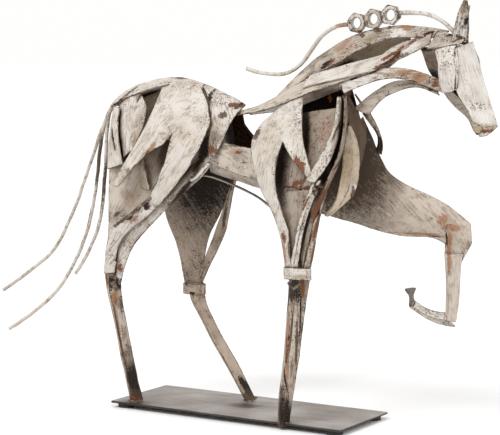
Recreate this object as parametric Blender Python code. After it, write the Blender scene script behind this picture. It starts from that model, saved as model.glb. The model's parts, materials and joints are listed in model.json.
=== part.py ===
"""Walking horse welded from hand-cut sheet-metal strips, on a low steel plate with rubber feet.

The horse is a free form. Its points are (x, y, z) in horse units: x runs from tail to head and
y from the right side to the left, both from the plate's centre, and z is the height above the
plate. One horse unit is 1/285 of the horse's height, which is 1 mm at the built size.
Sheet, rods, nuts, plate, feet and clearance are real sizes of their own, in metres.
"""
import math

import bmesh
import bpy
import numpy as np
from mathutils import Matrix, Vector
from mathutils.bvhtree import BVHTree

HORSE_HEIGHT = 0.285
SHEET = 0.0010
LEG_SHEET = 0.0012
TAIL_ROD_DIAMETER = 0.0030
MANE_ROD_DIAMETER = 0.0032
BELLY_ROD_DIAMETER = 0.0020
NUT_ACROSS_FLATS = 0.0125
NUT_THICKNESS = 0.0036
NUT_BORE = 0.0074
PLATE_LENGTH = 0.190
PLATE_WIDTH = 0.071
PLATE_THICKNESS = 0.0015
FOOT_DIAMETER = 0.012
FOOT_HEIGHT = 0.003
FOOT_INSET = 0.008
GAP = 0.0003
WELDS = (4e-6, 2e-6, 1e-6, 8e-6, 16e-6)

PLATE_TOP = FOOT_HEIGHT + GAP + PLATE_THICKNESS
UNIT = HORSE_HEIGHT / 285
MIDLINE = -5

RIGHT = Vector((0, -1, 0))
LEFT = Vector((0, 1, 0))
UP = Vector((0, 0, 1))
FRONT = Vector((1, 0, 0))

PALE = ((0.70, 0.65, 0.59), 0.55, 0.0)
GREY = ((0.45, 0.41, 0.37), 0.60, 0.1)
TAN = ((0.42, 0.33, 0.26), 0.60, 0.1)
BROWN = ((0.22, 0.17, 0.13), 0.65, 0.3)
STEEL = ((0.16, 0.14, 0.13), 0.45, 0.9)
RUBBER = ((0.02, 0.02, 0.02), 0.85, 0.0)

placed = []


def clear_scene():
    for item in list(bpy.data.objects):
        bpy.data.objects.remove(item)


def add_object(name, mesh):
    item = bpy.data.objects.new(name, mesh)
    bpy.context.scene.collection.objects.link(item)
    return item


def mesh_from(name, bm):
    bmesh.ops.recalc_face_normals(bm, faces=bm.faces)
    mesh = bpy.data.meshes.new(name)
    bm.to_mesh(mesh)
    bm.free()
    return mesh


def paint(item, finish):
    colour, roughness, metallic = finish
    material = bpy.data.materials.new(item.name + "_finish")
    material.use_nodes = True
    shader = material.node_tree.nodes["Principled BSDF"]
    shader.inputs["Base Color"].default_value = (*colour, 1)
    shader.inputs["Roughness"].default_value = roughness
    shader.inputs["Metallic"].default_value = metallic
    material.diffuse_color = (*colour, 1)
    item.data.materials.clear()
    item.data.materials.append(material)


def mirrored(points):
    """The same points on the other side of the horse's midline."""
    return [(x, 2 * MIDLINE - y, z) for x, y, z in points]


def through(points, count):
    """Evenly spaced points on a smooth curve through the given ones."""
    knots = np.array(points, float)
    ends = (2 * knots[0] - knots[1], 2 * knots[-1] - knots[-2])
    knots = np.vstack([ends[0], knots, ends[1]])
    fine = []
    for a, b, c, d in zip(knots, knots[1:], knots[2:], knots[3:]):
        for t in np.linspace(0, 1, 12, endpoint=False):
            bend = (2 * a - 5 * b + 4 * c - d) * t * t + (3 * b - a - 3 * c + d) * t ** 3
            fine.append(0.5 * (2 * b + (c - a) * t + bend))
    fine.append(knots[-2])
    fine = np.array(fine)
    run = np.concatenate([[0], np.cumsum(np.linalg.norm(np.diff(fine, axis=0), axis=1))])
    stops = np.linspace(0, run[-1], count)
    return np.stack([np.interp(stops, run, fine[:, axis]) for axis in range(3)], axis=1)


def in_place(points):
    return np.array(points) * UNIT + np.array([0, 0, PLATE_TOP])


def unit(vectors):
    return vectors / np.maximum(np.linalg.norm(vectors, axis=-1, keepdims=True), 1e-12)


def surface(rails, rows, columns, crown, out, folded=False, lift=0.0):
    """Grid of points over a sheet that runs through its rails, and the normals on its outer side."""
    lines = [through(rail, rows + 1) for rail in rails]
    grid = []
    for row in range(rows + 1):
        knots = [line[row] for line in lines]
        if folded:
            panels = [np.linspace(a, b, columns, endpoint=False) for a, b in zip(knots, knots[1:])]
            grid.append(np.vstack(panels + [knots[-1]]))
        else:
            grid.append(through(knots, columns + 1))
    grid = in_place(grid)

    def normals():
        field = unit(np.cross(np.gradient(grid, axis=0), np.gradient(grid, axis=1)))
        return field if np.sum(field @ np.array(out)) > 0 else -field

    share = np.linspace(0, 1, grid.shape[1])
    rise = 4 * share * (1 - share) * crown * UNIT
    grid = grid + normals() * (rise[None, :, None] + lift)
    return grid, normals()


def trim(item, cutter_mesh, operation="DIFFERENCE"):
    """Apply one Boolean to an object and drop the cutter."""
    cutter = add_object("cutter", cutter_mesh)
    modifier = item.modifiers.new("fit", "BOOLEAN")
    modifier.operation = operation
    modifier.solver = "EXACT"
    modifier.use_self = True
    modifier.object = cutter
    graph = bpy.context.evaluated_depsgraph_get()
    result = bpy.data.meshes.new_from_object(item.evaluated_get(graph))
    item.modifiers.clear()
    item.data = result
    bpy.data.objects.remove(cutter)


def largest_body(bm):
    """Delete every loose scrap beside the largest connected body."""
    unseen = set(bm.verts)
    islands = []
    while unseen:
        island = {unseen.pop()}
        rim = list(island)
        while rim:
            vertex = rim.pop()
            for link in vertex.link_edges:
                other = link.other_vert(vertex)
                if other in unseen:
                    unseen.discard(other)
                    island.add(other)
                    rim.append(other)
        area = sum(face.calc_area() for vertex in island for face in vertex.link_faces)
        islands.append((area, island))
    islands.sort(key=lambda entry: entry[0], reverse=True)
    for _, island in islands[1:]:
        bmesh.ops.delete(bm, geom=list(island), context="VERTS")


def keep_largest(item):
    """Keep the one body that is the piece, joined up with the shortest weld that closes it."""
    for reach in WELDS:
        bm = bmesh.new()
        bm.from_mesh(item.data)
        bmesh.ops.remove_doubles(bm, verts=bm.verts, dist=reach)
        bmesh.ops.dissolve_degenerate(bm, edges=bm.edges, dist=reach)
        bmesh.ops.triangulate(bm, faces=bm.faces)
        largest_body(bm)
        if all(edge.is_contiguous for edge in bm.edges):
            break
    bm.to_mesh(item.data)
    bm.free()


def grown(item):
    """The piece's mesh, moved out by the clearance on every side."""
    bm = bmesh.new()
    bm.from_mesh(item.data)
    bm.normal_update()
    moves = [vertex.normal * GAP * min(vertex.calc_shell_factor(), 3.0) for vertex in bm.verts]
    for vertex, move in zip(bm.verts, moves):
        vertex.co += move
    mesh = bpy.data.meshes.new("grown")
    bm.to_mesh(mesh)
    bm.free()
    return mesh


def corners(item):
    spots = np.array([vertex.co for vertex in item.data.vertices])
    return spots.min(axis=0), spots.max(axis=0)


def tree(mesh):
    spots = [vertex.co for vertex in mesh.vertices]
    return BVHTree.FromPolygons(spots, [face.vertices for face in mesh.polygons])


def fit(item, finish):
    """Cut a new piece back from every earlier piece that it runs into, then finish it."""
    for other in placed:
        room = grown(other)
        if tree(item.data).overlap(tree(room)):
            trim(item, room)
            keep_largest(item)
    item.data.name = item.name
    paint(item, finish)
    item.data.shade_smooth()
    item.data.set_sharp_from_angle(angle=math.radians(40))
    placed.append(item)
    return item


def sheet(name, rails, finish, crown=0, out=RIGHT, rows=6, columns=2, thickness=SHEET,
          folded=False, lift=0.0, notches=()):
    """A strip of sheet metal through two or more rails, bulged by its crown towards out."""
    front, normal = surface(rails, rows, columns, crown, out, folded, lift)
    back = front - normal * thickness
    bm = bmesh.new()
    sides = []
    for grid in (front, back):
        sides.append([[bm.verts.new(spot) for spot in row] for row in grid])
    count_down, count_across = front.shape[:2]
    for grid in sides:
        for i in range(count_down - 1):
            for j in range(count_across - 1):
                bm.faces.new((grid[i][j], grid[i + 1][j], grid[i + 1][j + 1], grid[i][j + 1]))
    rim = [(i, 0) for i in range(count_down)]
    rim += [(count_down - 1, j) for j in range(1, count_across)]
    rim += [(i, count_across - 1) for i in range(count_down - 2, -1, -1)]
    rim += [(0, j) for j in range(count_across - 2, 0, -1)]
    for (i, j), (k, m) in zip(rim, rim[1:] + rim[:1]):
        bm.faces.new((sides[0][i][j], sides[0][k][m], sides[1][k][m], sides[1][i][j]))
    bmesh.ops.triangulate(bm, faces=bm.faces)
    item = add_object(name, mesh_from(name, bm))
    for outline in notches:
        trim(item, notch_cutter(outline))
        keep_largest(item)
    return fit(item, finish)


def notch_cutter(outline):
    """A prism through the right side of the horse, from an (x, z) outline in horse units."""
    depth = (-70, MIDLINE)
    bm = bmesh.new()
    ring = [bm.verts.new(in_place([x, depth[0], z])) for x, z in outline]
    face = bm.faces.new(ring)
    pushed = bmesh.ops.extrude_face_region(bm, geom=[face])
    moved = [part for part in pushed["geom"] if isinstance(part, bmesh.types.BMVert)]
    bmesh.ops.translate(bm, verts=moved, vec=Vector((0, (depth[1] - depth[0]) * UNIT, 0)))
    bmesh.ops.triangulate(bm, faces=bm.faces)
    return mesh_from("notch", bm)


def rod(name, points, diameter, finish):
    """A bent round rod along a smooth route, with flat ends."""
    length = sum(math.dist(a, b) for a, b in zip(points, points[1:])) * UNIT
    count = max(4, round(length / (3 * diameter)))
    curve = bpy.data.curves.new(name, "CURVE")
    curve.dimensions = "3D"
    curve.bevel_depth = diameter / 2
    curve.bevel_resolution = 2
    curve.use_fill_caps = True
    line = curve.splines.new("POLY")
    line.points.add(count - 1)
    for knot, spot in zip(line.points, in_place(through(points, count))):
        knot.co = (*spot, 1)
    source = add_object("route", curve)
    graph = bpy.context.evaluated_depsgraph_get()
    mesh = bpy.data.meshes.new_from_object(source.evaluated_get(graph))
    bpy.data.objects.remove(source)
    item = add_object(name, mesh)
    keep_largest(item)
    return fit(item, finish)


def ring_collar(name, centre, width, depth, height, finish):
    """A flat band bent once around a leg, closed where it was welded."""
    sides = 12
    bm = bmesh.new()
    loops = []
    for inset in (0, SHEET):
        for level in (-height / 2, height / 2):
            spots = []
            for step in range(sides):
                angle = 2 * math.pi * step / sides
                along = (width * UNIT / 2 - inset) * math.cos(angle)
                across = (depth * UNIT / 2 - inset) * math.sin(angle)
                spots.append(Vector((along, across, level * UNIT)))
            loops.append([bm.verts.new(spot + Vector(in_place(centre))) for spot in spots])
    outer_low, outer_high, inner_low, inner_high = loops
    pairs = ((outer_low, outer_high), (outer_high, inner_high), (inner_high, inner_low),
             (inner_low, outer_low))
    for first, second in pairs:
        for step in range(sides):
            after = (step + 1) % sides
            bm.faces.new((first[step], first[after], second[after], second[step]))
    bmesh.ops.triangulate(bm, faces=bm.faces)
    return fit(add_object(name, mesh_from(name, bm)), finish)


def turned(name, base, top, profile, finish):
    """A spun piece from base to top, with its radius given along the axis."""
    sides = 10
    start = Vector(in_place(base))
    axis = Vector(in_place(top)) - start
    turn = axis.to_track_quat("Z", "Y")
    bm = bmesh.new()
    rings = []
    for share, radius in profile:
        ring = bmesh.ops.create_circle(bm, segments=sides, radius=radius * UNIT)["verts"]
        for vertex in ring:
            vertex.co = start + axis * share + turn @ vertex.co
        rings.append(ring)
    for low, high in zip(rings, rings[1:]):
        for step in range(sides):
            after = (step + 1) % sides
            bm.faces.new((low[step], low[after], high[after], high[step]))
    bm.faces.new(rings[0])
    bm.faces.new(rings[-1])
    bmesh.ops.triangulate(bm, faces=bm.faces)
    return fit(add_object(name, mesh_from(name, bm)), finish)


def cylinder_mesh(diameter, height, segments, bevel=0.0):
    bm = bmesh.new()
    bmesh.ops.create_cone(bm, cap_ends=True, segments=segments, radius1=diameter / 2,
                          radius2=diameter / 2, depth=height)
    if bevel:
        rims = [edge for edge in bm.edges if len({round(v.co.z, 7) for v in edge.verts}) == 1]
        bmesh.ops.bevel(bm, geom=rims, offset=bevel, offset_type="OFFSET", segments=1,
                        profile=0.5, affect="EDGES", material=-1)
    return mesh_from("cylinder", bm)


def build_base():
    bm = bmesh.new()
    bmesh.ops.create_cube(bm, size=1)
    bmesh.ops.scale(bm, verts=bm.verts, vec=(PLATE_LENGTH, PLATE_WIDTH, PLATE_THICKNESS))
    bmesh.ops.translate(bm, verts=bm.verts, vec=(0, 0, PLATE_TOP - PLATE_THICKNESS / 2))
    bmesh.ops.bevel(bm, geom=bm.edges[:], offset=PLATE_THICKNESS / 6, offset_type="OFFSET",
                    segments=1, profile=0.5, affect="EDGES", material=-1)
    bmesh.ops.triangulate(bm, faces=bm.faces)
    fit(add_object("base_plate", mesh_from("base_plate", bm)), STEEL)
    for lengthwise, end in ((-1, "hind"), (1, "fore")):
        for sideways, side in ((-1, "right"), (1, "left")):
            mesh = cylinder_mesh(FOOT_DIAMETER, FOOT_HEIGHT, 16)
            mesh.transform(Matrix.Translation((
                lengthwise * (PLATE_LENGTH / 2 - FOOT_INSET),
                sideways * (PLATE_WIDTH / 2 - FOOT_INSET),
                FOOT_HEIGHT / 2)))
            fit(add_object("rubber_foot_%s_%s" % (end, side), mesh), RUBBER)


def build_right_hindquarter():
    sheet("right_thigh_fork",
          [[(-63, -13, 231), (-61, -25, 217), (-67, -33, 198), (-80, -35, 178), (-94, -33, 158),
            (-107, -29, 124), (-110, -27, 92)],
           [(-31, -15, 231), (-12, -28, 212), (-13, -36, 193), (-29, -38, 168), (-60, -34, 138),
            (-92, -29, 118), (-97, -27, 93)]],
          PALE, crown=3, rows=10, columns=3,
          notches=[[(-39, 197), (-46, 189), (-60, 182), (-72, 172), (-88, 157), (-120, 156),
                    (-120, 80), (-107, 80), (-103, 110), (-98, 125), (-77, 137), (-60, 149),
                    (-51, 162), (-44, 176)]])
    sheet("right_buttock_leaf_inner",
          [[(-104, -12, 213), (-101, -21, 199), (-97, -24, 188), (-91, -26, 175)],
           [(-86, -12, 226), (-71, -23, 216), (-69, -31, 200), (-76, -34, 184)]],
          GREY, crown=2, rows=5)
    sheet("right_buttock_leaf_outer",
          [[(-109, -10, 215), (-109, -16, 197), (-108, -20, 182), (-106, -23, 168)],
           [(-98, -19, 213), (-94, -27.5, 199), (-90, -30.5, 187), (-86, -32, 173)]],
          PALE, crown=2, rows=5)
    sheet("right_thigh_rear_sheet",
          [[(-105, -21, 186), (-106, -22, 153), (-105, -24, 130), (-107, -25, 100)],
           [(-42, -25, 192), (-40, -25, 172), (-52, -25, 154), (-72, -24, 136), (-88, -22, 117),
            (-99, -21, 100)]],
          TAN, crown=1, columns=2)
    sheet("right_gaskin_sheet",
          [[(-22, -26, 180), (-34, -28, 169), (-52, -28, 154), (-75, -27, 136), (-94, -25, 117),
            (-101, -24, 84)],
           [(-8, -28, 180), (-20, -29, 165), (-38, -28, 152), (-53, -27, 140), (-74, -26, 121),
            (-87, -25, 106), (-94, -24, 84)]],
          GREY, crown=2, rows=8)
    sheet("right_hind_cannon",
          [[(-110, -23, 97), (-108, -23, 80), (-102, -23, 62), (-98, -23, 44), (-93, -23, 22),
            (-86, -23, -3)],
           [(-95, -22, 97), (-95, -22, 76), (-91, -22, 60), (-87, -22, 45), (-83, -22, 25),
            (-75, -22, -3)]],
          GREY, crown=6, columns=4, thickness=LEG_SHEET)


def build_croup_and_tail():
    right_edge = [(-112, -10, 214), (-100, -14, 219), (-77, -16, 226), (-62, -17, 230),
                  (-48, -17, 231), (-28, -15, 227)]
    top = [(-116, -5, 215), (-104, -5, 225), (-86, -5, 232), (-63, -5, 236), (-48, -5, 236),
           (-32, -5, 231)]
    sheet("croup_strip", [right_edge, top, mirrored(right_edge)], PALE, out=UP, columns=4)
    rod("tail_rod_left",
        [(-101, -1, 224), (-112, -1, 219), (-122, -1, 206), (-129, 0, 194), (-141, 1, 168),
         (-151, 2, 146), (-163, 3, 123), (-175, 4, 105), (-191, 5, 92), (-208, 6, 81),
         (-231, 7, 67)],
        TAIL_ROD_DIAMETER, PALE)
    rod("tail_rod_middle",
        [(-101, -5, 224), (-111, -5, 218), (-119, -5, 207), (-123, -5, 197), (-126, -6, 178),
         (-128, -6, 158), (-133, -7, 134), (-140, -8, 112), (-150, -8, 94), (-163, -9, 75),
         (-179, -9, 61), (-197, -10, 48), (-211, -10, 40)],
        TAIL_ROD_DIAMETER, PALE)
    rod("tail_rod_right",
        [(-99, -9, 223), (-109, -9, 217), (-115, -9, 206), (-117, -10, 180), (-118, -11, 150),
         (-122, -12, 126), (-129, -13, 110), (-137, -13, 97), (-144, -13, 88)],
        TAIL_ROD_DIAMETER, PALE)


def build_loin():
    sheet("right_loin_leaf",
          [[(-36, -6, 232), (-17, -22, 220), (-11, -30, 203), (-13, -32, 185), (-11, -33, 178)],
           [(3, -6, 217), (4, -24, 208), (2, -29, 200), (-1, -31, 191), (-7, -33, 180)]],
          GREY, crown=2)
    sheet("left_flank_sheet",
          [[(-36, -3, 229), (-27, 14, 216), (-24, 20, 198), (-24, 22, 176)],
           [(-5, -3, 220), (-12, 16, 208), (-10, 22, 194), (34, 27, 164)]],
          TAN, crown=1, out=LEFT)
    sheet("right_flank_band",
          [[(-12, -28, 191), (-2, -29, 191), (9, -30, 189), (29, -33, 187)],
           [(-14, -29, 177), (-6, -30, 174), (4, -31, 171), (16, -32, 168), (35, -38, 165)],
           [(-18, -21, 169), (-7, -21, 166), (4, -21, 164), (16, -21, 161), (37, -26, 158)]],
          TAN, rows=5, columns=2, folded=True)
    rod("belly_rod",
        [(-24, -30, 167), (-18, -25, 167), (-8, -22, 164), (1, -21, 161), (11, -21, 158),
         (20, -23, 155), (33, -30, 151), (48, -40, 146)],
        BELLY_ROD_DIAMETER, GREY)


def build_right_shoulder():
    sheet("right_shoulder_fork",
          [[(31, -20, 210), (23, -31, 197), (27, -37, 180), (34, -40, 162), (45, -40, 145),
            (52, -38, 122), (53, -37, 108)],
           [(58, -20, 225), (64, -35, 201), (69, -39, 187), (77, -40, 168), (77, -40, 145),
            (75, -38, 121), (73, -37, 108)]],
          PALE, crown=2, rows=9, columns=3,
          notches=[[(51, 193), (61, 181), (72, 170), (95, 168), (95, 100), (60, 100), (58, 134),
                    (50, 155), (48, 167), (48, 180)]])
    sheet("right_crescent_strap",
          [[(83, -19, 223), (85, -24, 213), (86, -32, 200), (82, -38, 187), (72, -42, 168)],
           [(86, -18, 223), (89, -22, 211), (90, -29, 195), (85, -36, 177), (78, -41, 166)]],
          PALE, crown=1, rows=7)
    sheet("right_forearm_ribbon",
          [[(76, -39, 169), (70, -41, 151), (66, -41, 138), (58, -39, 108)],
           [(82, -38, 168), (75, -39, 151), (70, -39, 138), (64, -38, 108)]],
          PALE, crown=1, rows=5)
    sheet("right_edge_strap",
          [[(90, -20, 224), (94, -28, 208), (95, -33, 190), (87, -36, 170), (74, -37, 144),
            (69, -37, 124), (66, -36, 108)],
           [(87, -12, 224), (90, -17, 208), (92, -23, 189), (85, -27, 169), (73, -29, 143),
            (70, -30, 123), (68, -31, 108)]],
          TAN, out=FRONT, rows=8, columns=1)
    sheet("right_shoulder_plate",
          [[(34, -14, 206), (33, -22, 187), (35, -27, 170), (42, -31, 150), (50, -34, 126),
            (54, -35, 108)],
           [(84, -17, 216), (87, -28, 195), (80, -33, 178), (73, -35, 161), (66, -34, 135),
            (64, -34, 108)]],
          TAN, crown=3, columns=3)
    sheet("right_forearm_front",
          [[(70, -30, 163), (68, -34, 137), (65, -34, 123), (62, -34, 108)],
           [(79, -24, 161), (76, -27, 146), (74, -29, 132), (73, -31, 119), (71, -32, 108)]],
          BROWN, crown=2, out=FRONT, rows=5)
    sheet("right_chest_leaf",
          [[(89, -20, 203), (91, -25, 181), (90, -27, 165), (84, -27, 149), (78, -27, 143)],
           [(92, -16, 204), (97, -14, 193), (99, -15, 178), (98, -18, 161), (92, -21, 152),
            (82, -25, 143)]],
          TAN, crown=2, out=FRONT)
    ring_collar("right_knee_collar", (62, -35, 104), 21, 13, 8, PALE)
    sheet("right_fore_cannon",
          [[(53, -31, 101), (52, -31, 89), (52, -31, 78), (50, -31, 61), (48, -31, 40),
            (45, -31, 21), (45, -32, 9), (47, -32, -3)],
           [(70, -32, 101), (68, -32, 90), (66, -32, 74), (64, -32, 62), (62, -32, 45),
            (58, -32, 25), (56, -33, 8), (54, -33, -3)]],
          GREY, crown=6, columns=4, rows=7, thickness=LEG_SHEET)


def build_left_foreleg():
    upper_edge = [(88, 8, 210), (95, 12, 193), (104, 17, 170), (126, 20, 159), (148, 22, 150),
                  (165, 21, 137), (166, 20, 126), (160, 17, 113)]
    middle = [(71, -1, 174), (92, 7, 162), (110, 12, 148), (130, 14, 143), (150, 16, 137),
              (157, 17, 127), (153, 16, 113)]
    lower_edge = [(61, -13, 144), (80, 5, 137), (110, 16, 128), (135, 19, 128), (145, 20, 127),
                  (146, 18, 113)]
    sheet("left_fore_cannon",
          [[(146, 18, 118), (146, 19, 110), (146, 22, 99), (145, 22, 73)],
           [(161, 17, 118), (158, 18, 104), (156, 22, 86), (153, 22, 70)]],
          PALE, crown=6, columns=4, rows=5, thickness=LEG_SHEET)
    sheet("left_forearm_sheet", [upper_edge, middle, lower_edge], GREY, rows=10, columns=4)
    sheet("left_pastern",
          [[(148, 21, 77), (134, 21, 78), (122, 21, 84)],
           [(153, 21, 67), (144, 21, 67), (132, 21, 71), (119, 21, 78)]],
          PALE, crown=4, columns=4, rows=4, thickness=LEG_SHEET)
    turned("left_fore_hoof", (122, 19, 80), (120, 19, 92),
           [(0, 2.6), (0.2, 2.4), (0.45, 1.7), (0.6, 1.8), (0.8, 3.4), (0.92, 4.2), (1, 4.0)], BROWN)


def build_chest():
    sheet("chest_sheet",
          [[(84, -14, 224), (90, -15, 204), (90, -15, 187), (89, -14, 174)],
           [(88, -10, 223), (93, -7, 211), (98, -3, 200), (97, -4, 190), (93, -4, 174)]],
          TAN, crown=2, out=FRONT)
    sheet("chest_loop",
          [[(95, -6, 212), (98, -1, 205), (100, 5, 199), (100, 9, 194), (96, 13, 187)],
           [(99, -6, 216), (102, -1, 208), (103, 5, 200), (104, 9, 192), (100, 13, 183)]],
          GREY, crown=1, out=FRONT, rows=5)


def build_left_hindleg():
    sheet("left_thigh_sheet",
          [[(-88, 21, 168), (-87, 22, 134), (-80, 21, 121), (-73, 20, 107), (-66, 19, 76)],
           [(-18, 23, 172), (-26, 23, 158), (-39, 21, 131), (-48, 20, 113), (-51, 19, 76)]],
          GREY, crown=3, out=RIGHT, rows=7, columns=3)
    sheet("left_stifle_strap",
          [[(-26, 17, 156), (-31, 15, 139), (-36, 15, 126), (-44, 16, 109), (-53, 18, 90)],
           [(-20, 19, 164), (-24, 16, 147), (-26, 15, 128), (-34, 16, 111), (-45, 17, 94),
            (-50, 18, 84)]],
          PALE, crown=1, rows=5)
    sheet("left_hind_cannon",
          [[(-66, 20, 84), (-64, 20, 73), (-53, 20, 57), (-44, 20, 42), (-32, 20, 26),
            (-12, 20, -3)],
           [(-50, 20, 84), (-50, 20, 73), (-42, 20, 58), (-24, 20, 32), (-14, 20, 16),
            (-3, 20, -3)]],
          GREY, crown=6, columns=4, rows=7, thickness=LEG_SHEET)
    ring_collar("left_hock_collar", (-58, 19, 79), 19, 13, 8, PALE)


def build_left_side():
    sheet("left_rump_sheet",
          [[(-104, 1, 216), (-107, 12, 190), (-98, 20, 160)],
           [(-62, 4, 230), (-66, 21, 205), (-62, 26, 166)],
           [(-33, 3, 227), (-22, 20, 206), (-22, 26, 168)]],
          GREY, crown=1, out=LEFT, rows=5, columns=4)
    sheet("left_shoulder_sheet",
          [[(31, 13, 214), (23, 23, 192), (33, 27, 160)],
           [(78, 9, 232), (84, 14, 205), (90, 11, 184), (78, 9, 150)]],
          GREY, crown=4, out=LEFT, rows=5, columns=3)


def build_head():
    near_side = [(168, -16, 254), (170, -18, 240), (168, -17, 229), (176, -13, 216),
                 (183, -10, 198)]
    near_fold = [(169, -15, 256), (172, -15, 243), (178, -15, 230), (181, -13, 217),
                 (189, -10, 199)]
    far_fold = [(171, 5, 260), (177, 5, 243), (182, 4, 229), (187, 3, 217), (192, 1, 205)]
    far_side = [(170, 7, 256), (172, 9, 240), (170, 8, 229), (178, 4, 216), (185, 0, 202)]
    sheet("face_plate", [near_side, near_fold, far_fold, far_side], PALE, out=FRONT, rows=6,
          columns=1, folded=True)
    sheet("right_cheek",
          [[(152, -13, 254), (156, -16, 243), (157, -17, 234), (159, -14, 226)],
           [(160, -14, 257), (164, -20, 245), (164, -20, 234), (166, -17, 227)],
           [(168, -14, 258), (172, -18, 246), (172, -19, 236), (171, -17, 230)]],
          PALE, rows=4, columns=3)
    sheet("left_cheek",
          [[(134, 3, 256), (137, 6, 246), (139, 7, 238), (149, 6, 230)],
           [(152, 5, 257), (155, 10, 244), (156, 10, 236), (160, 8, 228)],
           [(171, 5, 258), (175, 9, 245), (174, 9, 236), (173, 8, 229)]],
          GREY, out=LEFT, rows=4, columns=3)
    sheet("poll_plate",
          [[(146, -13, 255), (149, -9, 262), (153, -5, 268), (152, 2, 260)],
           [(169, -15, 257), (171, -10, 261), (171, -5, 263), (169, 4, 258)]],
          GREY, out=UP, rows=4)
    near_jaw = [(165, -15, 229), (171, -14, 223), (175, -13, 218), (178, -11, 214),
                (181, -9, 208), (184, -8, 201)]
    under_jaw = [(155, -5, 226), (160, -5, 220), (167, -5, 214), (173, -5, 210), (175, -5, 204),
                 (179, -5, 199)]
    sheet("jaw_bar", [near_jaw, under_jaw, mirrored(near_jaw)], TAN, out=(-1, 0, -1), rows=6,
          columns=4)
    sheet("right_ear",
          [[(164, -14, 260), (165.5, -14, 266), (167.5, -13.5, 273), (169, -12, 280), (171.7, -10, 286)],
           [(172, -8, 259), (172.5, -8, 266), (173, -8, 273), (173.7, -8, 279), (172.7, -10, 286)]],
          GREY, crown=-2, out=FRONT, rows=5)
    sheet("left_ear",
          [[(165, 3, 259), (165.5, 3, 266), (166, 2.5, 272), (167.5, 1, 278), (170.3, -0.5, 283)],
           [(171, -2, 259), (171, -2, 266), (171, -2, 272), (171, -2, 278), (171.3, -1, 283)]],
          GREY, crown=-2, out=FRONT, rows=5)


def build_mane():
    rise = math.radians(11.5)
    along = Vector((math.cos(rise), 0, math.sin(rise)))
    row_middle = Vector((103.2, MIDLINE, 275.1))
    middle = Vector(in_place(row_middle))
    pitch = 1.035 * NUT_ACROSS_FLATS
    for step, place in ((-1, "rear"), (0, "middle"), (1, "front")):
        bm = bmesh.new()
        bmesh.ops.create_cone(bm, cap_ends=True, segments=6, radius1=NUT_ACROSS_FLATS / math.sqrt(3),
                              radius2=NUT_ACROSS_FLATS / math.sqrt(3), depth=NUT_THICKNESS)
        item = add_object("mane_nut_%s" % place, mesh_from("nut", bm))
        corner_chamfer = NUT_ACROSS_FLATS / 14
        outer = cylinder_mesh(NUT_ACROSS_FLATS * 2 / math.sqrt(3), NUT_THICKNESS + GAP, 18,
                              corner_chamfer)
        trim(item, outer, "INTERSECT")
        trim(item, cylinder_mesh(NUT_BORE, 2 * NUT_THICKNESS, 14))
        item.data.transform(Matrix.Rotation(math.radians(30), 4, "Z"))
        item.data.transform(Matrix.Rotation(math.radians(90), 4, "X"))
        item.data.transform(Matrix.Rotation(rise, 4, "Y"))
        centre = middle + along * step * pitch
        item.data.transform(Matrix.Translation(centre))
        keep_largest(item)
        fit(item, GREY)
    reach = (pitch + 0.45 * NUT_ACROSS_FLATS) / UNIT
    rear_end = row_middle - along * reach
    front_end = row_middle + along * reach
    rod("mane_rod_rear",
        [(3, -5, 242), (10, -5, 240), (18, -5, 238), (26, -5, 238), (34, -5, 238), (42, -5, 241),
         (49, -5, 246), (54, -5, 254), (60, -5, 261), (66, -5, 267), (74, -5, 271), rear_end],
        MANE_ROD_DIAMETER, PALE)
    rod("mane_rod_front",
        [front_end, (129, -5, 279.5), (136, -5, 279), (145, -5, 278), (151, -5, 275),
         (156, -5, 272), (161, -5, 267), (165, -5, 262)],
        MANE_ROD_DIAMETER, PALE)


def build_neck():
    lower_edge = [(0, -14, 209), (25, -20, 213), (45, -23, 219), (64, -22, 226), (84, -19, 232),
                  (110, -14, 241)]
    upper_edge = [(-1, -13, 212), (23, -17, 217), (39, -18, 226), (56, -17, 234), (87, -15, 243),
                  (125, -10, 253)]
    rows = 8
    sheet("neck_strap_right", [lower_edge, upper_edge], PALE, rows=rows, columns=1)
    sheet("neck_strap_left", [mirrored(lower_edge), mirrored(upper_edge)], PALE, out=LEFT,
          rows=rows, columns=1)
    low, high = [through(edge, rows + 1)[rows // 2:] for edge in (lower_edge, upper_edge)]
    width = high - low
    narrowing = np.linspace(0.45, 0.02, len(low))[:, None]
    sheet("neck_overlay_strap", [low + width * narrowing, low + width * 1.12], PALE,
          rows=rows // 2, columns=1, lift=SHEET + GAP)
    sheet("poll_strap",
          [[(104, -10, 242), (125, -9, 248), (138, -10, 254), (147, -9, 258)],
           [(110, -8, 251), (120, -7, 258), (129, -7, 261), (141, -8, 264), (148, -8, 267)]],
          GREY, crown=1, rows=4)
    sheet("crest_strip",
          [[(33, -15, 222), (55, -13, 235), (74, -12, 243), (85, -11, 249), (99, -10, 257),
            (114, -9, 262), (138, -9, 263), (156, -9, 262)],
           [(32, -8, 226), (39, -6, 233), (51, -5, 244), (69, -4, 256), (90, -4, 266),
            (103, -4, 268), (118, -4, 271), (133, -4, 271), (158, -4, 267)]],
          GREY, crown=1, rows=9)
    sheet("throat_strap_upper",
          [[(82, -17, 233), (98, -15, 237), (110, -12, 243), (126, -11, 243), (139, -11, 241),
            (156, -12, 235)],
           [(88, -18, 225), (99, -16, 230), (107, -13, 234), (123, -12, 236), (141, -12, 232),
            (159, -13, 226)]],
          GREY, crown=1, rows=6)
    sheet("throat_strap_lower",
          [[(89, -8, 215), (99, -7, 223), (110, -5, 231), (120, -4, 235), (134, -4, 234),
            (151, -5, 228)],
           [(101, -7, 211), (109, -6, 221), (123, -4, 228), (135, -4, 230), (152, -5, 224)]],
          TAN, crown=1, rows=6)
    sheet("neck_sheet_left",
          [[(62, 4, 230), (84, 5, 238), (110, 4, 246), (128, 3, 253)],
           [(60, 1, 246), (77, 2, 253), (98, 1, 262), (128, 1, 264)]],
          BROWN, crown=1, out=LEFT, rows=4)


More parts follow.
